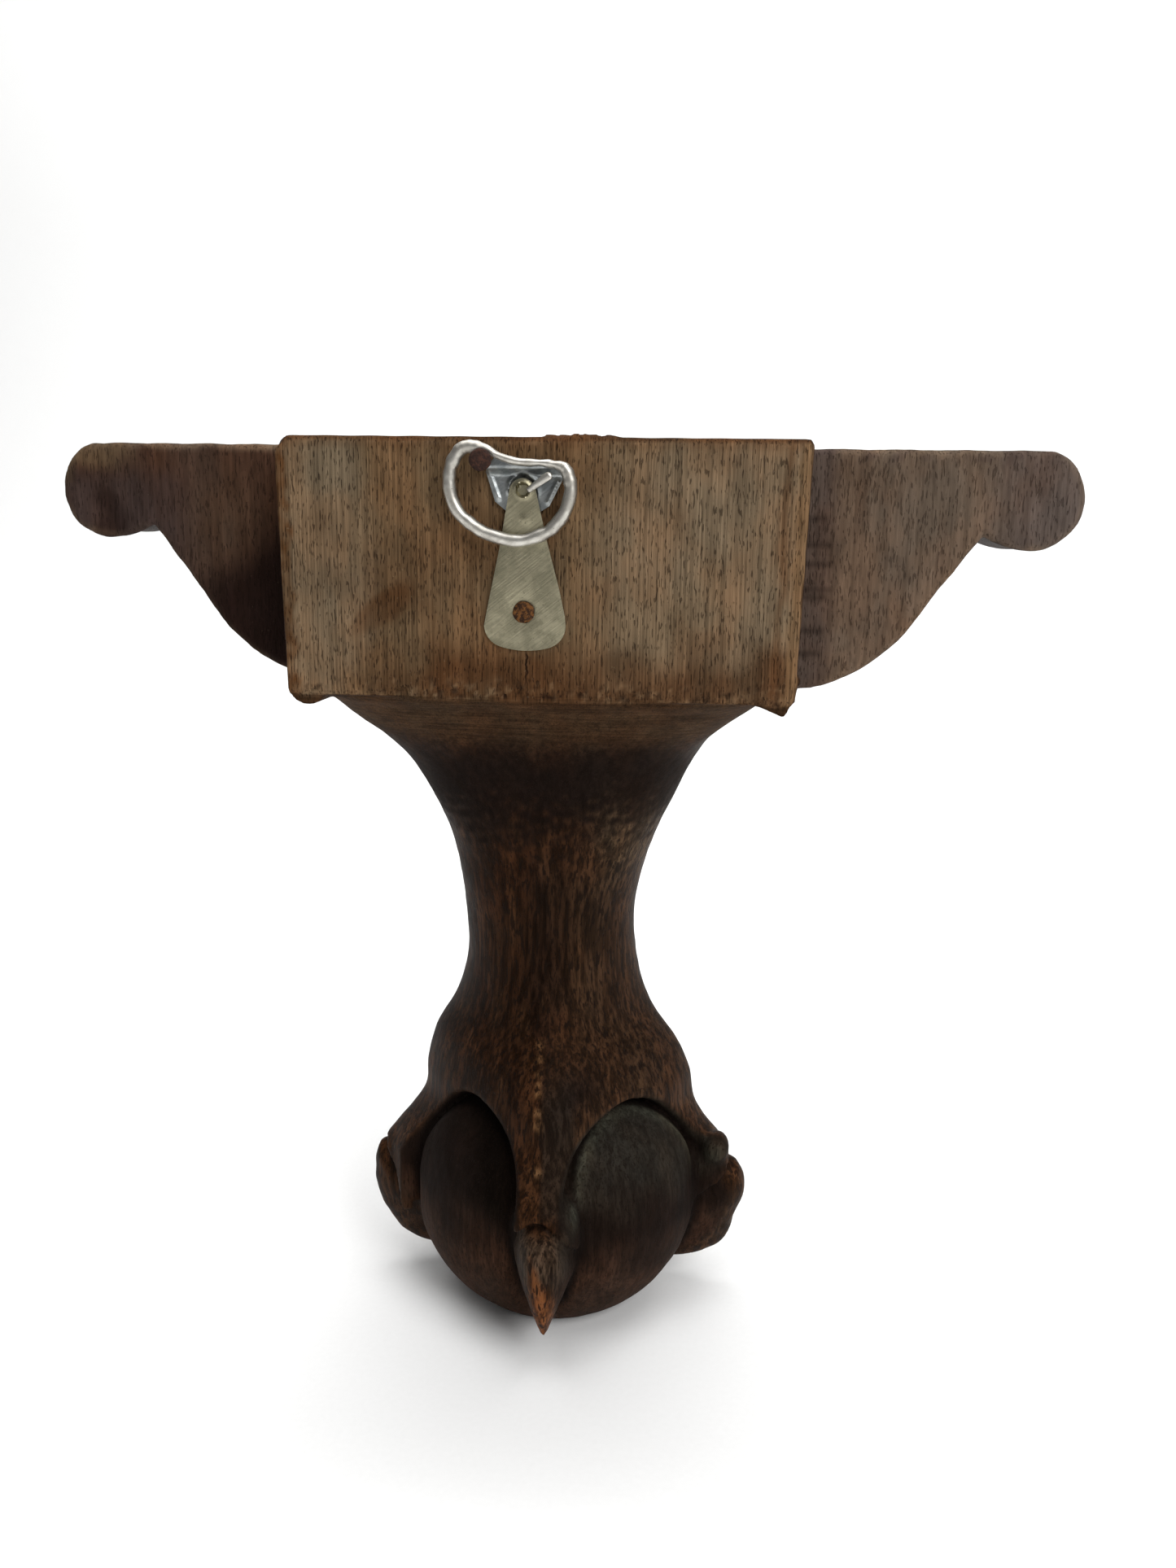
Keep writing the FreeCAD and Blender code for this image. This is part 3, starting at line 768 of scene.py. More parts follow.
def wire_nail(name, place, under, seed):
    """A wire nail: point, shank, and a worn flat head whose underside stands at under."""
    top = under + HEAD_THICK
    r = HEAD_RADIUS
    rings = [(0.08, -20.0), (0.8, -17.0), (0.8, under - 0.3), (1.0, under), (r - 0.25, under),
             (r - 0.05, under + 0.12), (r, under + 0.3), (r, under + 0.45), (r - 0.1, under + 0.62),
             (r - 0.35, top - 0.02), (r - 0.8, top + 0.06), (0.9, top + 0.11), (0.45, top + 0.10),
             (0.06, top + 0.11)]
    return lathe(name, place, rings, seed, 0.012)


def broken_dowel():
    """The seat dowel, snapped off level with the top in torn fibres."""
    low, high = box_mm("seat_dowel")
    middle, radius = (low + high) / 2, (high[0] - low[0]) / 2
    field = Field(low - 2, high + 2.5, STUB_VOXEL)
    rng = np.random.default_rng(77)
    x, y, z = field.x - middle[0], field.y - middle[1], field.z
    round_side = np.sqrt(x ** 2 + y ** 2) - radius + 0.08
    torn = 0.25 * ripple(field, 2.2, 61)[:, :, :1] + 0.2 * ripple(field, 1.1, 62)[:, :, :1]
    field.distance = np.maximum(np.maximum(round_side, low[2] + 0.2 - z),
                                z - high[2] - 0.15 - torn)
    for _ in range(20):
        away, angle = rng.uniform(0, radius - 0.6), rng.uniform(0, 2 * math.pi)
        lump(field, (middle[0] + away * math.cos(angle), middle[1] + away * math.sin(angle), high[2]),
             (rng.uniform(0.3, 0.7), rng.uniform(0.3, 0.7), rng.uniform(0.4, 1.0)), 0.2)
    return field.mesh("seat_dowel_stub")


# Colours are linear. Each wood colour is the colour of the dry or finished surface itself, except where
# it carries painted light or shade: the lit grey finish, the ball's sheen and rim highlight, the black
# beside the toe, the board's shadow brown, and the grime that also stands for shade in hollows.
SAWN_LEFT = (0.112, 0.068, 0.035)
SAWN_RIGHT = (0.140, 0.096, 0.058)
SAWN_GREY = (0.128, 0.096, 0.062)
SAWN_STAIN = (0.068, 0.030, 0.012)
SAWN_FOOT = (0.046, 0.020, 0.008)
EDGE_ORANGE = (0.072, 0.032, 0.012)
EDGE_GOLD = (0.140, 0.086, 0.044)
TORN_FIBRE = (0.160, 0.100, 0.055)
FINISH = (0.0175, 0.0070, 0.0030)
FINISH_GOLD = (0.040, 0.0170, 0.0070)
LIT_GREY_FINISH = (0.032, 0.0175, 0.0095)
FINISH_TAN = (0.070, 0.043, 0.023)
COVE = (0.044, 0.024, 0.012)
GRIME_AND_SHADE = (0.0045, 0.0032, 0.0030)
TOE_SHADOW_BLACK = (0.0012, 0.0009, 0.0008)
BALL_BROWN = (0.034, 0.0170, 0.0105)
BALL_PAINTED_SHEEN = (0.026, 0.0245, 0.0190)
BALL_RIM_HIGHLIGHT = (0.042, 0.0400, 0.0290)
RAW_CLAW = (0.095, 0.034, 0.0120)
CLAW_GREY = (0.046, 0.033, 0.0230)
DOT_ORANGE = (0.110, 0.058, 0.026)
RIGHT_BOARD = (0.101, 0.070, 0.049)
LEFT_BOARD = (0.046, 0.024, 0.016)
BOARD_EDGE = (0.140, 0.095, 0.062)
BLOTCH_AND_SHADOW_BROWN = (0.0075, 0.0038, 0.0036)
STREAK_RED = (0.060, 0.028, 0.015)
LEFT_GLOW = (0.056, 0.034, 0.022)
LEFT_SLATE = (0.034, 0.023, 0.021)
LEFT_RAW = (0.092, 0.060, 0.034)
RIGHT_TAN = (0.124, 0.089, 0.064)
RIGHT_SLATE = (0.071, 0.054, 0.050)
ROOT_PURPLE = (0.052, 0.034, 0.030)
TOE_DARK = (0.0105, 0.0075, 0.0055)


def cloud(points, size, seed):
    """A smooth random value at each point, mostly from -1 to 1, with patches about size across."""
    rng = np.random.default_rng(seed)
    total = np.zeros(len(points))
    waves = 12
    for _ in range(waves):
        way = rng.normal(size=3)
        way *= 2 * math.pi / (size * rng.uniform(0.7, 1.6) * np.linalg.norm(way))
        total += np.sin(points @ way + rng.uniform(0, 2 * math.pi))
    return total / math.sqrt(waves)


class Paint:
    """The colour of each point of a piece, built up in coats."""

    def __init__(self, piece, colour):
        self.piece = piece
        self.points = points_of(piece)
        self.x, self.y, self.z = self.points.T
        self.colour = np.tile(np.array(colour, float), (len(self.points), 1))

    def coat(self, colour, share):
        self.colour += (np.array(colour) - self.colour) * np.clip(share, 0, 1)[:, None]

    def shade(self, amount):
        self.colour *= np.asarray(amount)[:, None]

    def cloud(self, size, seed):
        return cloud(self.points, size, seed)

    def dry(self, **layers):
        """Stores the colour, and any other layers, on the mesh."""
        mesh = self.piece.data
        tone = mesh.attributes.new("tone", "FLOAT_COLOR", "POINT")
        rgba = np.column_stack([np.clip(self.colour, 0, 1), np.ones(len(self.points))])
        tone.data.foreach_set("color", rgba.astype(np.float32).ravel())
        for name, values in layers.items():
            layer = mesh.attributes.new(name, "FLOAT", "POINT")
            values = np.broadcast_to(values, len(self.points))
            layer.data.foreach_set("value", np.clip(values, 0, 1).astype(np.float32))


def paint_finish(paint, deep):
    """Finished wood: golden streaks, painted lighter and greyer on the right towards the light, darkest
    down the middle of the neck.
    """
    x, y, z = paint.x, paint.y, paint.z
    streaks = cloud(paint.points * (1, 1, 0.12), 5.0, 51)
    paint.coat(FINISH_GOLD, 0.55 * smooth_step(0.1, 1.1, streaks))
    # Painted light: the right side, towards the window, is coloured lighter and greyer.
    paint.coat(LIT_GREY_FINISH, 0.55 * smooth_step(2, -12, x))
    paint.coat(FINISH_TAN, 0.7 * smooth_step(-7, -15, x) * np.exp(-((z - 121) / 10) ** 2))
    middle = np.exp(-((x - 1.5) / 4.5) ** 2) * smooth_step(125, 105, z) * (y > 0)
    paint.coat(GRIME_AND_SHADE, 0.45 * middle)
    low = smooth_step(62, 48, z)
    paint.coat(FINISH_GOLD, 0.35 * low * smooth_step(0.55, 0.45, deep))


def paint_cove(paint):
    """The rasped cove below the block, and the dust and painted shadow under it. Returns where both are.
    """
    y, z = paint.y, paint.z
    cove = smooth_step(BLOCK_FOOT + 1, BLOCK_FOOT - 1, z) * smooth_step(139, 146, z)
    cove = cove * smooth_step(10, 22, y)
    paint.coat(COVE, 0.85 * cove)
    height = z + 1.2 * paint.cloud(22, 52)
    mottle = 4.0 * paint.cloud(2.4, 69)
    # Dust and painted shadow under the block's overhang, speckled.
    dust_and_shadow = smooth_step(147, 136, height) * smooth_step(113, 130, height + mottle)
    dust_and_shadow = dust_and_shadow * smooth_step(-6, 10, y)
    paint.coat(GRIME_AND_SHADE, 0.85 * dust_and_shadow)
    return cove, dust_and_shadow


def paint_ball(paint, arch):
    """The ball: near black in its upper part, brown low down, with a painted greenish sheen and rim
    highlight on its right and a painted shadow beside the rear toe.
    """
    x, z = paint.x, paint.z
    on_ball = smooth_step(0.6, -0.6, arch - 0.8) * smooth_step(59, 57, z)
    brown = smooth_step(34, 17, z - 0.15 * x + 4 * paint.cloud(18, 53))
    # Near black over the ball, as grime and as painted shade under the arches; brown low down.
    paint.coat(GRIME_AND_SHADE, 0.9 * on_ball)
    paint.coat(BALL_BROWN, 0.9 * on_ball * brown)
    # Painted sheen: a greenish highlight on the ball's right side, towards the light.
    painted_sheen = smooth_step(31, 44, z + 2 * paint.cloud(12, 54)) * smooth_step(4, -9, x)
    paint.coat(BALL_PAINTED_SHEEN, 0.45 * on_ball * painted_sheen)
    # Painted shadow: near black on the ball beside the rear toe, where the toe shades it.
    toe_shadow = smooth_step(21, 12, x) * (x > 0) * smooth_step(27, 38, z)
    paint.coat(TOE_SHADOW_BLACK, 0.95 * on_ball * toe_shadow)
    # Painted highlight: a pale rim round the top of each arch's lobe, on the right.
    rim = np.exp(-((arch + 3.2) / 1.6) ** 2) * smooth_step(31, 40, z)
    paint.coat(BALL_RIM_HIGHLIGHT, 0.8 * on_ball * rim * smooth_step(6, -6, x))
    return on_ball


def paint_rear_toe(paint):
    """The rear toe: its ridge rubbed through in a row of dots, its claw worn to raw wood."""
    x, y, z = paint.x, paint.y, paint.z
    ridge = x - 0.9 - (z - 47) * 0.03
    golden = np.exp(-((ridge - 1.6) / 2.2) ** 2) * (y > 25) * smooth_step(80, 70, z)
    paint.coat(FINISH_GOLD, 0.5 * golden)
    dark_side = smooth_step(-0.2, -1.4, ridge) * smooth_step(-9.5, -6.5, ridge)
    paint.coat(TOE_DARK, 0.8 * dark_side * (y > 22) * smooth_step(70, 60, z) * smooth_step(37, 40, z))
    patch = np.exp(-((x + 7.5) / 5.5) ** 2 - ((z - 63) / 4.5) ** 2) * (y > 15)
    paint.coat(GRIME_AND_SHADE, 0.85 * patch)
    for height, size in RIDGE_DOTS:
        spot = np.exp(-((ridge ** 2 + (z - height) ** 2) / size ** 2)) * (y > 20)
        paint.coat(DOT_ORANGE, 0.9 * spot)
    upper_claw = (y > 37) * smooth_step(22, 28, z) * smooth_step(36.5, 34, z)
    paint.coat(CLAW_GREY, 0.6 * upper_claw * smooth_step(8, 4, np.abs(x)))
    claw_middle = x + 1.4 - (z - 12) * 0.03
    raw = (y > 36) * smooth_step(30, 24, z + 1.2 * paint.cloud(4, 55) - 1.5 * claw_middle) * (z < 33)
    paint.coat(RAW_CLAW, 0.95 * raw * smooth_step(3.2, 2.0, np.abs(claw_middle)))


def paint_sawn_back(back, fine):
    """The raw back of the block: yellower on the right, stained low down, dark along its edges."""
    x, z = back.x, back.z
    back.coat(SAWN_RIGHT, 0.9 * smooth_step(2, -34, x + 6 * back.cloud(26, 56)))
    back.coat(SAWN_GREY, 0.6 * smooth_step(31, 40, x + 3 * back.cloud(16, 92)))
    stain = smooth_step(0.35, 1.3, back.cloud(15, 57)) * smooth_step(-18, 8, x)
    stain = stain + 0.9 * np.exp(-((x - 27) / 12) ** 2 - ((z - 176) / 8) ** 2)
    back.coat(SAWN_STAIN, 0.55 * stain)
    above_foot = z - BLOCK_FOOT
    foot_band = smooth_step(13, 4, above_foot + 2.5 * back.cloud(14, 58))
    back.coat(SAWN_FOOT, 0.78 * foot_band * smooth_step(49, 20, x))
    torn = smooth_step(4.2, 1.5, above_foot + back.cloud(4, 65))
    back.coat(TORN_FIBRE, 0.55 * torn * smooth_step(0.3, 1.0, back.cloud(1.9, 66)))
    back.coat(GRIME_AND_SHADE, 0.65 * torn * smooth_step(0.4, 1.1, back.cloud(2.3, 67)))
    back.coat(SAWN_STAIN, 0.45 * smooth_step(TOP - 2.5, TOP - 0.5, z))
    half = block_half(z)
    left_edge = smooth_step(half - 3.0, half - 2.0, x - BLOCK_SKEW + 0.6 * back.cloud(5, 59))
    right_edge = smooth_step(half - 3.0, half - 1.8, -x + 0.4 * back.cloud(5, 60))
    back.coat(EDGE_ORANGE, left_edge * (0.85 + 0.25 * back.cloud(4, 64)))
    back.coat(EDGE_GOLD, 0.75 * right_edge)
    back.coat(SAWN_STAIN, 0.6 * np.exp(-((x + half - 4.3 + 0.4 * back.cloud(9, 68)) / 0.8) ** 2))
    back.coat(TORN_FIBRE, 0.5 * smooth_step(0.48, 0.34, fine) * (0.5 + 0.5 * back.cloud(2.2, 61)))
    # Dirt and painted shade in the chips and creases.
    back.coat(GRIME_AND_SHADE, 0.75 * smooth_step(0.52, 0.60, fine))


def paint_leg(piece, field):
    paint = Paint(piece, FINISH)
    y, z = paint.y, paint.z
    deep = field.at(hollowness(field, WIDE_HOLLOW), paint.points)
    fine = field.at(hollowness(field, FINE_HOLLOW), paint.points)
    arch = field.at(arches(field), paint.points)
    on_block = smooth_step(BLOCK_FOOT - 1.0, BLOCK_FOOT - 0.2, z)
    on_block = on_block * smooth_step(BACK - 1.1, BACK - 0.5, y)
    paint_finish(paint, deep)
    cove, dust_and_shadow = paint_cove(paint)
    on_ball = paint_ball(paint, arch)

    # Dirt and painted shade in the hollows, and rubbed edges
    paint.coat(GRIME_AND_SHADE, 0.92 * smooth_step(0.53, 0.68, deep))
    paint.coat(GRIME_AND_SHADE, 0.8 * smooth_step(0.54, 0.66, fine))
    paint.coat(FINISH_GOLD, 0.35 * smooth_step(0.44, 0.30, fine) * (1 - on_block))
    paint_rear_toe(paint)
    back = Paint(piece, SAWN_LEFT)
    paint_sawn_back(back, fine)
    paint.colour += (back.colour - paint.colour) * on_block[:, None]

    # The sawn top
    top = smooth_step(TOP - 0.6, TOP - 0.2, z)
    paint.coat(SAWN_STAIN, 0.8 * top)
    paint.coat(GRIME_AND_SHADE, 0.35 * top * smooth_step(-0.3, 0.9, paint.cloud(18, 62)))
    paint.shade(1 + 0.10 * paint.cloud(7, 63))
    gloss = (1 - on_block) * (1 - 0.8 * cove) * (1 - top) * (1 - 0.6 * dust_and_shadow) * (1 - 0.6 * on_ball)
    paint.dry(sawn=np.maximum(on_block, 0.5 * top), gloss=gloss, rasped=cove)


def paint_board(piece, field, side):
    left = side > 0
    paint = Paint(piece, LEFT_BOARD if left else RIGHT_BOARD)
    y, z = paint.y, paint.z
    reach = side * (paint.x + BRACKET_SHIFT) - BLOCK_HALF
    drop = TOP - z
    fine = field.at(hollowness(field, FINE_HOLLOW), paint.points)
    streaks = cloud(paint.points * (1, 1, 0.15), 4.0, 71 + side)
    paint.coat(STREAK_RED, 0.25 * smooth_step(0.2, 1.1, streaks))
    if left:
        paint_left_board(paint, reach, drop)
    else:
        paint_right_board(paint, reach, drop)
    on_back_face = smooth_step(BRACKET_BACK - 1.6, BRACKET_BACK - 0.7, y)
    paint.coat(FINISH, 0.85 * (1 - on_back_face))
    paint.coat(GRIME_AND_SHADE, 0.6 * (1 - on_back_face) * smooth_step(8, 20, drop))
    worn = smooth_step(0.46, 0.30, fine) * smooth_step(2, 6, reach)
    paint.coat(BOARD_EDGE, (0.25 if left else 0.5) * worn * (0.55 + 0.45 * paint.cloud(5, 74)))
    top_edge = smooth_step(2.0, 0.5, drop) * smooth_step(BRACKET_BACK - 4, BRACKET_BACK - 1, y)
    paint.coat(BOARD_EDGE, 0.6 * top_edge * smooth_step(-0.1, 0.9, paint.cloud(9, 75)))
    paint.shade(1 + 0.07 * paint.cloud(8, 76))
    paint.dry(sawn=0.35 * on_back_face, gloss=0.2 + 0.5 * (1 - on_back_face), rasped=0)


def paint_left_board(paint, reach, drop):
    """Purple brown, with dark blotches on the lobe, raw along the top of the lobe, and a painted shadow
    of the block that turns nearly black towards the block's foot.
    """
    paint.coat(LEFT_GLOW, 0.75 * np.exp(-((reach - 17) / 9) ** 2 - ((drop - 15) / 11) ** 2))
    paint.coat(LEFT_SLATE, 0.75 * smooth_step(22, 31, reach) * smooth_step(3, 9, drop))
    on_lobe = smooth_step(30, 40, reach) * smooth_step(4, 10, drop)
    # Dark blotches on the lobe, in the same brown.
    paint.coat(BLOTCH_AND_SHADOW_BROWN, 0.55 * smooth_step(0.2, 1.2, paint.cloud(9, 72)) * on_lobe)
    # Painted shadow of the block: darkest close to the block and low down.
    slope = reach + 1.3 * (30 - drop) + 2 * paint.cloud(14, 77)
    paint.coat(BLOTCH_AND_SHADOW_BROWN, 0.93 * smooth_step(36, 13, slope))
    raw = smooth_step(6.0, 1.0, drop - 0.22 * (reach - 38) + paint.cloud(5, 78))
    paint.coat(LEFT_RAW, 0.85 * raw * smooth_step(34, 41, reach))
    paint.coat(BOARD_EDGE, 0.8 * np.exp(-((reach - 8.5) / 4.2) ** 2 - (drop / 1.5) ** 4))


def paint_right_board(paint, reach, drop):
    """Grey brown, more purple on the lobe and beside the block, with saw marks at its root."""
    paint.coat(RIGHT_TAN, 0.5 * smooth_step(0.0, 1.0, paint.cloud(20, 73)))
    paint.coat(RIGHT_SLATE, 0.6 * smooth_step(30, 42, reach))
    paint.coat(ROOT_PURPLE, 0.6 * smooth_step(7, 2, reach))
    for down, long in ROOT_MARKS:
        mark = np.exp(-((drop - down) / 0.7) ** 2) * smooth_step(long + 3.2, long + 1.6, reach)
        paint.coat(GRIME_AND_SHADE, 0.45 * mark)
    paint.coat(ROOT_PURPLE, 0.5 * smooth_step(4, 1, drop) * smooth_step(0.3, 1.0, paint.cloud(3.5, 79)))


def paint_dowel(piece):
    paint = Paint(piece, SAWN_STAIN)
    paint.coat(TORN_FIBRE, 0.5 * smooth_step(TOP + 0.1, TOP + 0.9, paint.z))
    paint.coat(GRIME_AND_SHADE, 0.5 * smooth_step(0, 1, paint.cloud(3, 81)))
    paint.dry(sawn=0.5, gloss=0, rasped=0)


def new_material(name):
    material = bpy.data.materials.new(name)
    material.use_nodes = True
    return material, material.node_tree, material.node_tree.nodes["Principled BSDF"]


def add(tree, kind, inputs=None, **settings):
    """A node with these settings. An input is a number, a vector, or the output that feeds it."""
    made = tree.nodes.new(kind)
    for key, value in settings.items():
        setattr(made, key, value)
    for key, value in (inputs or {}).items():
        if isinstance(value, bpy.types.NodeSocket):
            tree.links.new(value, made.inputs[key])
        else:
            made.inputs[key].default_value = value
    return made


def maths(tree, operation, *values):
    return add(tree, "ShaderNodeMath", dict(enumerate(values)), operation=operation).outputs[0]


def times(tree, a, b):
    return maths(tree, "MULTIPLY", a, b)


def plus(tree, a, b):
    return maths(tree, "ADD", a, b)


def between(tree, value, low, high, out_low=0.0, out_high=1.0):
    """Stretches the range from low to high onto another, and holds it at both ends."""
    made = add(tree, "ShaderNodeMapRange", {0: value, 1: low, 2: high, 3: out_low, 4: out_high},
               interpolation_type="SMOOTHSTEP")
    return made.outputs[0]


def place_mm(tree, stretch, turn):
    """Where a point is on the piece, in millimetres times stretch along each axis."""
    place = add(tree, "ShaderNodeTexCoord").outputs["Object"]
    scale = tuple(s / MM for s in stretch)
    turned = add(tree, "ShaderNodeMapping", {"Vector": place, "Rotation": turn})
    made = add(tree, "ShaderNodeMapping", {"Vector": turned.outputs[0], "Scale": scale})
    return made.outputs[0]


def noise(tree, stretch, detail=2.0, roughness=0.5, turn=(0, 0, 0)):
    place = place_mm(tree, stretch, turn)
    made = add(tree, "ShaderNodeTexNoise", {"Vector": place, "Scale": 1.0, "Detail": detail,
                                            "Roughness": roughness, "Distortion": 0.0})
    return made.outputs["Fac"]


def layer(tree, name):
    return add(tree, "ShaderNodeAttribute", attribute_name=name).outputs["Fac"]


def blend_colour(tree, share, a, b, kind="MIX"):
    made = add(tree, "ShaderNodeMix", {0: share, 6: a, 7: b}, data_type="RGBA", blend_type=kind)
    return made.outputs[2]


def scaled(tree, colour, amount):
    return add(tree, "ShaderNodeVectorMath", {0: colour, "Scale": amount}, operation="SCALE").outputs[0]


def bump(tree, shader, height, depth, strength=1.0):
    made = add(tree, "ShaderNodeBump", {"Height": height, "Distance": depth * MM, "Strength": strength})
    tree.links.new(made.outputs[0], shader.inputs["Normal"])


def crack(tree, sawn):
    """The drying crack that runs down from the end of the strip, as a share of darkness."""
    place = add(tree, "ShaderNodeTexCoord").outputs["Object"]
    x, _, z = add(tree, "ShaderNodeSeparateXYZ", {0: place}).outputs
    top, foot = (RIVET[2] + STRIP_END_UP) * MM, BLOCK_FOOT * MM
    wander = between(tree, noise(tree, (0.0, 0.0, 0.35), 2.0), 0.3, 0.7, -0.45, 0.45)
    across = plus(tree, maths(tree, "DIVIDE", x, MM), wander)
    away = maths(tree, "ABSOLUTE", maths(tree, "SUBTRACT", across, CRACK_ACROSS))
    line = between(tree, away, 0.10, 0.30, 0.9, 0.0)
    line = times(tree, line, between(tree, z, top - 1 * MM, top, 1.0, 0.0))
    line = times(tree, line, between(tree, z, foot + 2 * MM, foot + 6 * MM, 0.45, 1.0))
    return times(tree, line, sawn)


def wood_light(tree, fibre, lines, across, layers, grain):
    """How light the wood is against its painted colour, from its fibres, bands and tool marks."""
    sawn, gloss, rasped = layers
    band = noise(tree, (0.28, 0.28, 0.012))
    streak = noise(tree, (0.75, 0.75, 0.055), 3.0, 0.6)
    light = between(tree, fibre, 0.3, 0.7, 1 - 0.24 * grain, 1 + 0.20 * grain)
    light = plus(tree, light, times(tree, between(tree, streak, 0.38, 0.64, -0.50, 0.75), gloss))
    light = plus(tree, light, between(tree, band, 0.35, 0.65, -0.08, 0.08))
    cuts = between(tree, lines, 0.36, 0.70, -0.16 * grain, 0.38 * grain)
    light = plus(tree, light, times(tree, cuts, sawn))
    return plus(tree, light, times(tree, between(tree, across, 0.35, 0.65, -0.25, 0.25), rasped))


def wood_holes(tree, pore, sawn, gloss, grain):
    """Closed pores, open pores and the crack, as a share of darkness."""
    open_pore = between(tree, noise(tree, (1.35, 1.35, 0.24), 1.0), 0.56, 0.63, 0.0, 0.85)
    share = maths(tree, "MAXIMUM", times(tree, pore, 0.3 + 0.3 * grain), times(tree, open_pore, gloss))
    return maths(tree, "MAXIMUM", share, crack(tree, sawn))


def painted_wood(name, pore_depth, specular, grain):
    """Mahogany with upright grain: fibres, saw lines and open pores over the painted colour."""
    material, tree, shader = new_material(name)
    tone = add(tree, "ShaderNodeAttribute", attribute_name="tone").outputs["Color"]
    sawn, gloss, rasped = (layer(tree, n) for n in ("sawn", "gloss", "rasped"))
    fibre = noise(tree, (2.2, 2.2, 0.07), 4.0, 0.62)
    lines = noise(tree, (3.2, 0.4, 0.035), 3.0, 0.6)
    across = noise(tree, (0.08, 0.3, 2.6), 3.0, 0.6)
    pore = between(tree, noise(tree, (3.2, 3.2, 0.55), 1.0), 0.60, 0.68)
    patch = noise(tree, (0.09, 0.09, 0.05), 3.0, 0.55)
    speck = between(tree, noise(tree, (1.6, 1.6, 1.6)), 0.70, 0.76)

    warm = blend_colour(tree, between(tree, patch, 0.35, 0.65), PATCH_WARM, PATCH_COOL)
    colour = blend_colour(tree, 1.0, tone, warm, "MULTIPLY")
    colour = scaled(tree, colour, wood_light(tree, fibre, lines, across, (sawn, gloss, rasped), grain))
    colour = blend_colour(tree, wood_holes(tree, pore, sawn, gloss, grain), colour, PORE_BLACK)
    colour = blend_colour(tree, times(tree, times(tree, speck, sawn), 0.25), colour, SPECK_PALE)
    tree.links.new(colour, shader.inputs["Base Color"])

    rough = between(tree, gloss, 0.0, 1.0, 0.86, 0.55)
    rough = plus(tree, rough, between(tree, fibre, 0.3, 0.7, -0.05, 0.06))
    tree.links.new(rough, shader.inputs["Roughness"])
    shader.inputs["Specular IOR Level"].default_value = specular
    shader.inputs["Specular Tint"].default_value = FINISH_TINT
    height = times(tree, fibre, between(tree, sawn, 0, 1, 0.35, 0.8))
    height = plus(tree, height, times(tree, lines, sawn))
    height = plus(tree, height, times(tree, across, rasped))
    height = maths(tree, "SUBTRACT", height, times(tree, pore, pore_depth))
    bump(tree, shader, height, 0.16)
    return material


def turned_wood(name):
    """Pale dowel wood, its grain along the dowel."""
    material, tree, shader = new_material(name)
    fibre = noise(tree, (0.08, 1.8, 1.8), 4.0, 0.6)
    colour = blend_colour(tree, between(tree, fibre, 0.3, 0.7), (0.16, 0.085, 0.038, 1),
                          (0.34, 0.21, 0.11, 1))
    tree.links.new(colour, shader.inputs["Base Color"])
    tree.links.new(between(tree, fibre, 0.3, 0.7, 0.62, 0.8), shader.inputs["Roughness"])
    bump(tree, shader, fibre, 0.12)
    return material


def aluminium(name, bright, dull, rough, brushed=0.0, dents=0.3):
    """Worn soft aluminium. brushed is how strong its slanting rub lines are."""
    material, tree, shader = new_material(name)
    smear = noise(tree, (0.35, 0.35, 0.35), 3.0, 0.6)
    rub = noise(tree, (0.12, 1.0, 4.0), 3.0, 0.6, (0, math.radians(-38), 0))
    knock = noise(tree, (1.1, 1.1, 1.1), 2.0, 0.5)
    spot = between(tree, noise(tree, (2.4, 2.4, 2.4), 2.0), 0.66, 0.74)
    colour = blend_colour(tree, between(tree, smear, 0.35, 0.65), (*dull, 1), (*bright, 1))
    colour = scaled(tree, colour, between(tree, rub, 0.3, 0.7, 1 - 0.35 * brushed, 1 + 0.25 * brushed))
    colour = blend_colour(tree, times(tree, spot, 0.45), colour, (0.10, 0.085, 0.06, 1))
    tree.links.new(colour, shader.inputs["Base Color"])
    shader.inputs["Metallic"].default_value = 1.0
    uneven = plus(tree, between(tree, smear, 0.3, 0.7, rough + 0.07, rough - 0.05),
                   times(tree, spot, 0.25))
    tree.links.new(uneven, shader.inputs["Roughness"])
    height = plus(tree, times(tree, rub, brushed),
                   times(tree, knock, dents))
    bump(tree, shader, height, 0.10)
    return material


def corroded(name, base, bloom, metal, rough):
    """A rusted or tarnished nail head."""
    material, tree, shader = new_material(name)
    grain = noise(tree, (1.5, 1.5, 1.5), 5.0, 0.65)
    crust = between(tree, grain, 0.42, 0.62)
    tree.links.new(blend_colour(tree, crust, (*base, 1), (*bloom, 1)), shader.inputs["Base Color"])
    tree.links.new(between(tree, crust, 0, 1, rough - 0.12, rough + 0.1), shader.inputs["Roughness"])
    shader.inputs["Metallic"].default_value = metal
    shader.inputs["Specular IOR Level"].default_value = 0.15
    bump(tree, shader, grain, 0.35)
    return material


def paper():
    """The studio's matt floor and backdrop."""
    material, tree, shader = new_material("studio_paper")
    tooth = noise(tree, (0.8, 0.8, 0.8), 2.0)
    colour = blend_colour(tree, tooth, (0.84, 0.84, 0.835, 1), (0.88, 0.88, 0.875, 1))
    tree.links.new(colour, shader.inputs["Base Color"])
    shader.inputs["Roughness"].default_value = 0.95
    shader.inputs["Specular IOR Level"].default_value = 0.1
    return material


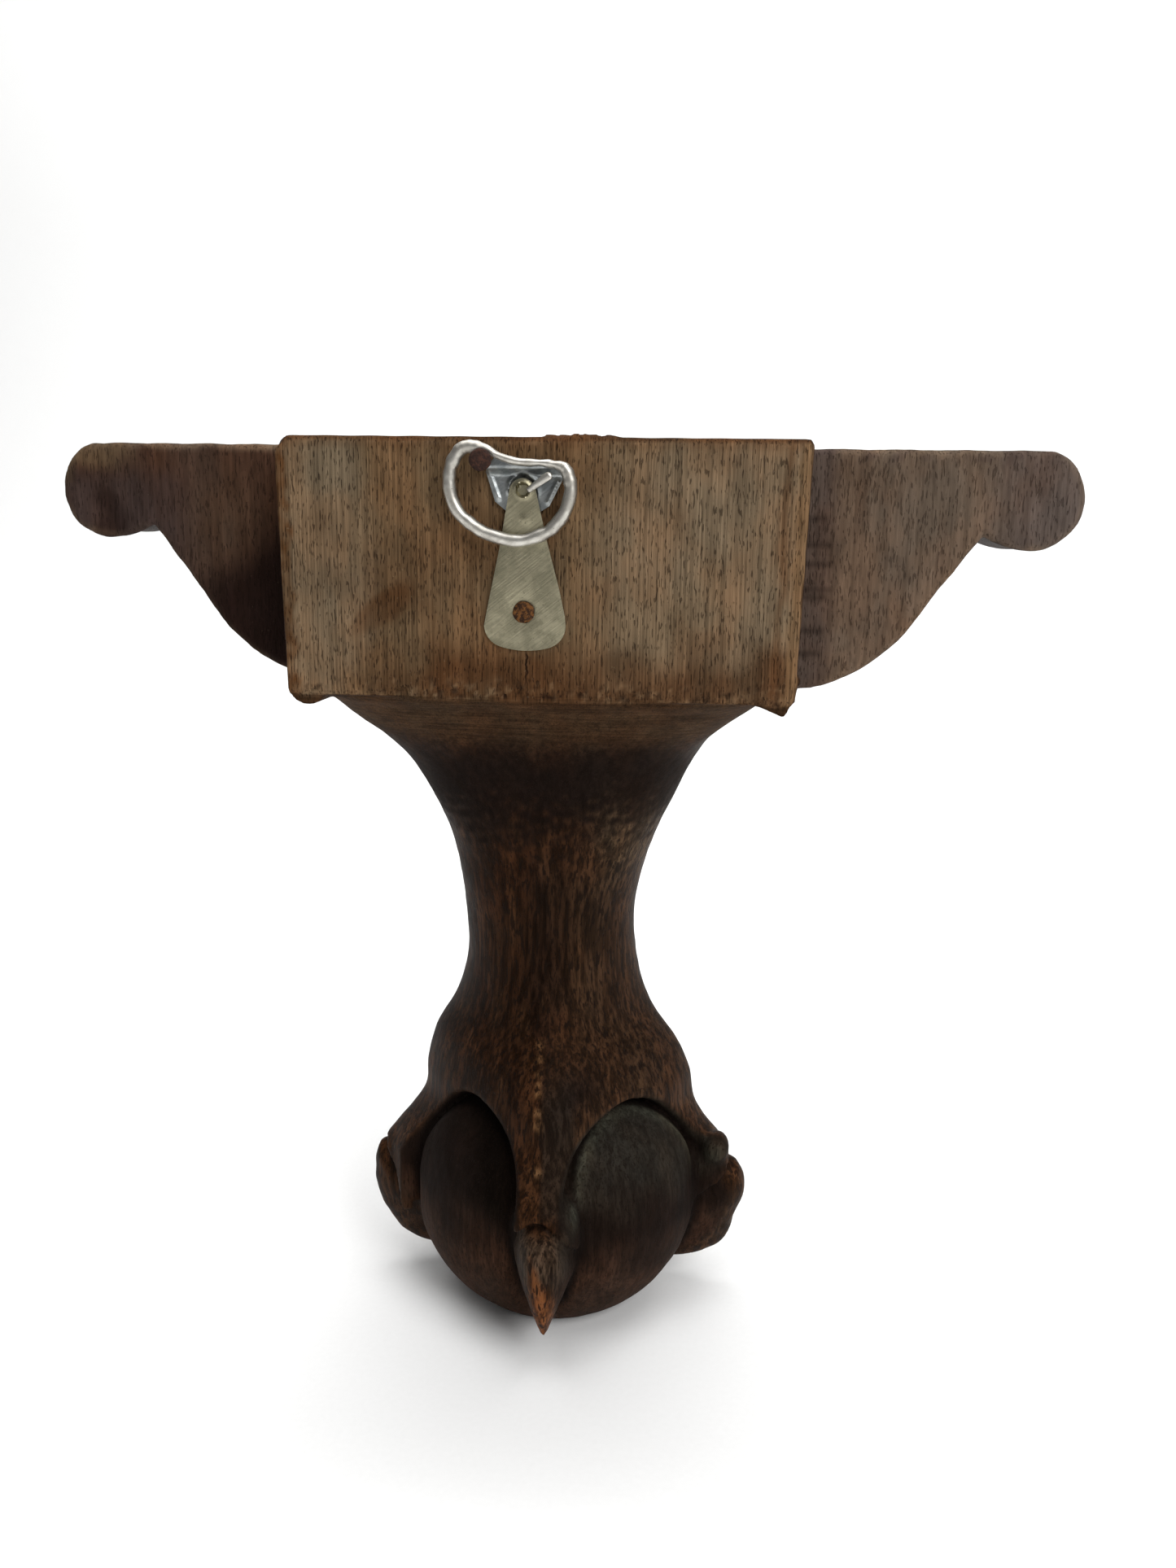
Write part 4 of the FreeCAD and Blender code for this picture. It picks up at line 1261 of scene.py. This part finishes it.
def stage_floor():
    """A pale floor that sweeps up into a backdrop beyond the object."""
    half, near, run, sweep, rise = 3000.0, 3000.0, 900.0, 700.0, 2600.0
    line = [(near, 0.0), (-run, 0.0)]
    steps = 16
    for i in range(1, steps + 1):
        angle = math.pi / 2 * i / steps
        line.append((-run - sweep * math.sin(angle), sweep * (1 - math.cos(angle))))
    line.append((-run - sweep, rise))
    points = [(x, y, z) for y, z in line for x in (-half, half)]
    faces = [(2 * i, 2 * i + 1, 2 * i + 3, 2 * i + 2) for i in range(len(line) - 1)]
    floor = new_mesh("studio_floor", points, faces)
    floor.data.materials.append(paper())


def light(name, place, target, size, power):
    lamp = bpy.data.lights.new(name, "AREA")
    lamp.shape = "RECTANGLE"
    lamp.size, lamp.size_y = size
    lamp.energy = power
    holder = bpy.data.objects.new(name, lamp)
    bpy.context.scene.collection.objects.link(holder)
    holder.location = place
    aim = Vector(target) - Vector(place)
    holder.rotation_euler = aim.to_track_quat("-Z", "Y").to_euler()


def lighting():
    """A soft window up on the right, seen from behind, an overhead panel and a dim room."""
    world = bpy.data.worlds.new("soft_room")
    world.use_nodes = True
    background = world.node_tree.nodes["Background"]
    background.inputs["Color"].default_value = (1.0, 1.0, 1.0, 1)
    background.inputs["Strength"].default_value = 0.16
    bpy.context.scene.world = world
    middle = (0.0, 0.0, 0.12)
    light("window", (-0.85, 1.0, 1.0), middle, (0.8, 0.8), 17.0)
    light("overhead", (0.0, 0.1, 1.9), (0.0, -0.1, 0.0), (1.8, 1.8), 30.0)
    light("backdrop_light", (0.0, -0.4, 2.0), (0.0, -1.6, 0.5), (2.4, 0.6), 24.0)
    bpy.context.scene.view_settings.view_transform = "Standard"


def camera():
    """A phone held level with the block, close to its back and looking a little down."""
    distance, across, height = 228.39, -27.61, TOP - 21.275
    pan, tilt, roll = math.radians(4.462), math.radians(11.0), math.radians(0.902)
    data = bpy.data.cameras.new("phone_camera")
    data.sensor_width = 36.0
    data.lens = 27.05
    data.clip_start, data.clip_end = 0.01, 20.0
    eye = bpy.data.objects.new("phone_camera", data)
    bpy.context.scene.collection.objects.link(eye)
    forward = Vector((math.sin(pan) * math.cos(tilt), -math.cos(pan) * math.cos(tilt), -math.sin(tilt)))
    right = Vector((-math.cos(pan), -math.sin(pan), 0))
    down = forward.cross(right)
    right, down = (right * math.cos(roll) - down * math.sin(roll),
                   right * math.sin(roll) + down * math.cos(roll))
    axes = Matrix((right, -down, -forward)).transposed()
    place = Vector((across, BACK + distance, height)) * MM
    eye.matrix_world = Matrix.Translation(place) @ axes.to_4x4()
    bpy.context.scene.camera = eye


def dress(piece, body, slot_name, material, *nodes):
    """Gives a new piece its material, the body it moves with and the CAD nodes it stands for."""
    piece.data.materials.append(material)
    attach(piece, body)
    if nodes:
        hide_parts(*nodes)


def wooden_pieces():
    carved = painted_wood("carved_mahogany", 0.9, 0.06, 1.0)
    boards = painted_wood("board_mahogany", 0.8, 0.09, 0.55)
    leg, leg_field = leg_carving()
    paint_leg(leg, leg_field)
    dress(leg, "leg", "leg_wood", carved, "carved_leg")
    for side, hand in ((1, "left"), (-1, "right")):
        board, field = bracket_board(side, f"{hand}_bracket")
        paint_board(board, field, side)
        dress(board, "leg", f"{hand}_bracket_wood", boards, f"{hand}_bracket")
    stub = broken_dowel()
    paint_dowel(stub)
    dress(stub, "leg", "dowel_wood", carved, "seat_dowel")
    dowel_wood = turned_wood("dowel_wood")
    for name, node in frame["nodes"].items():
        if name.endswith("dowel") and name != "seat_dowel":
            node.data.materials.clear()
            node.data.materials.append(dowel_wood)


def metal_pieces():
    strip_metal = aluminium("strip_aluminium", STRIP_BRIGHT, STRIP_DULL, 0.42, 0.45, 0.25)
    ring_metal = aluminium("ring_aluminium", RING_BRIGHT, RING_DULL, 0.40, 0.1, 0.25)
    plate_metal = aluminium("plate_aluminium", PLATE_BRIGHT, PLATE_DULL, 0.38, 0.3, 0.3)
    dress(tear_strip_sheet(), "leg", "strip_aluminium", strip_metal, "tear_strip")
    dress(ring_wire(), "ring", "ring_aluminium", ring_metal, "pull_ring")
    dress(nose_plate_sheet(), "ring", "ring_aluminium", plate_metal, "pull_ring")
    dress(bent_tongue(), "ring", "ring_aluminium", ring_metal, "pull_ring")
    rust = corroded("rusty_nail", (0.024, 0.011, 0.008), (0.062, 0.027, 0.018), 0.10, 0.75)
    copper = corroded("coppery_nail", (0.026, 0.011, 0.005), (0.150, 0.062, 0.018), 0.40, 0.55)
    upper = wire_nail("upper_nail_rusted", UPPER_NAIL, RING_OUT + 1.4, 5)
    dress(upper, "leg", "rusty_nail", rust, "upper_nail")
    seat = strip_out(LOWER_NAIL[1]) - NAIL_DENT + SHEET
    lower = wire_nail("lower_nail_coppery", LOWER_NAIL, seat + 0.3, 6)
    dress(lower, "leg", "coppery_nail", copper, "lower_nail")


camera()
lighting()
stage_floor()
wooden_pieces()
metal_pieces()
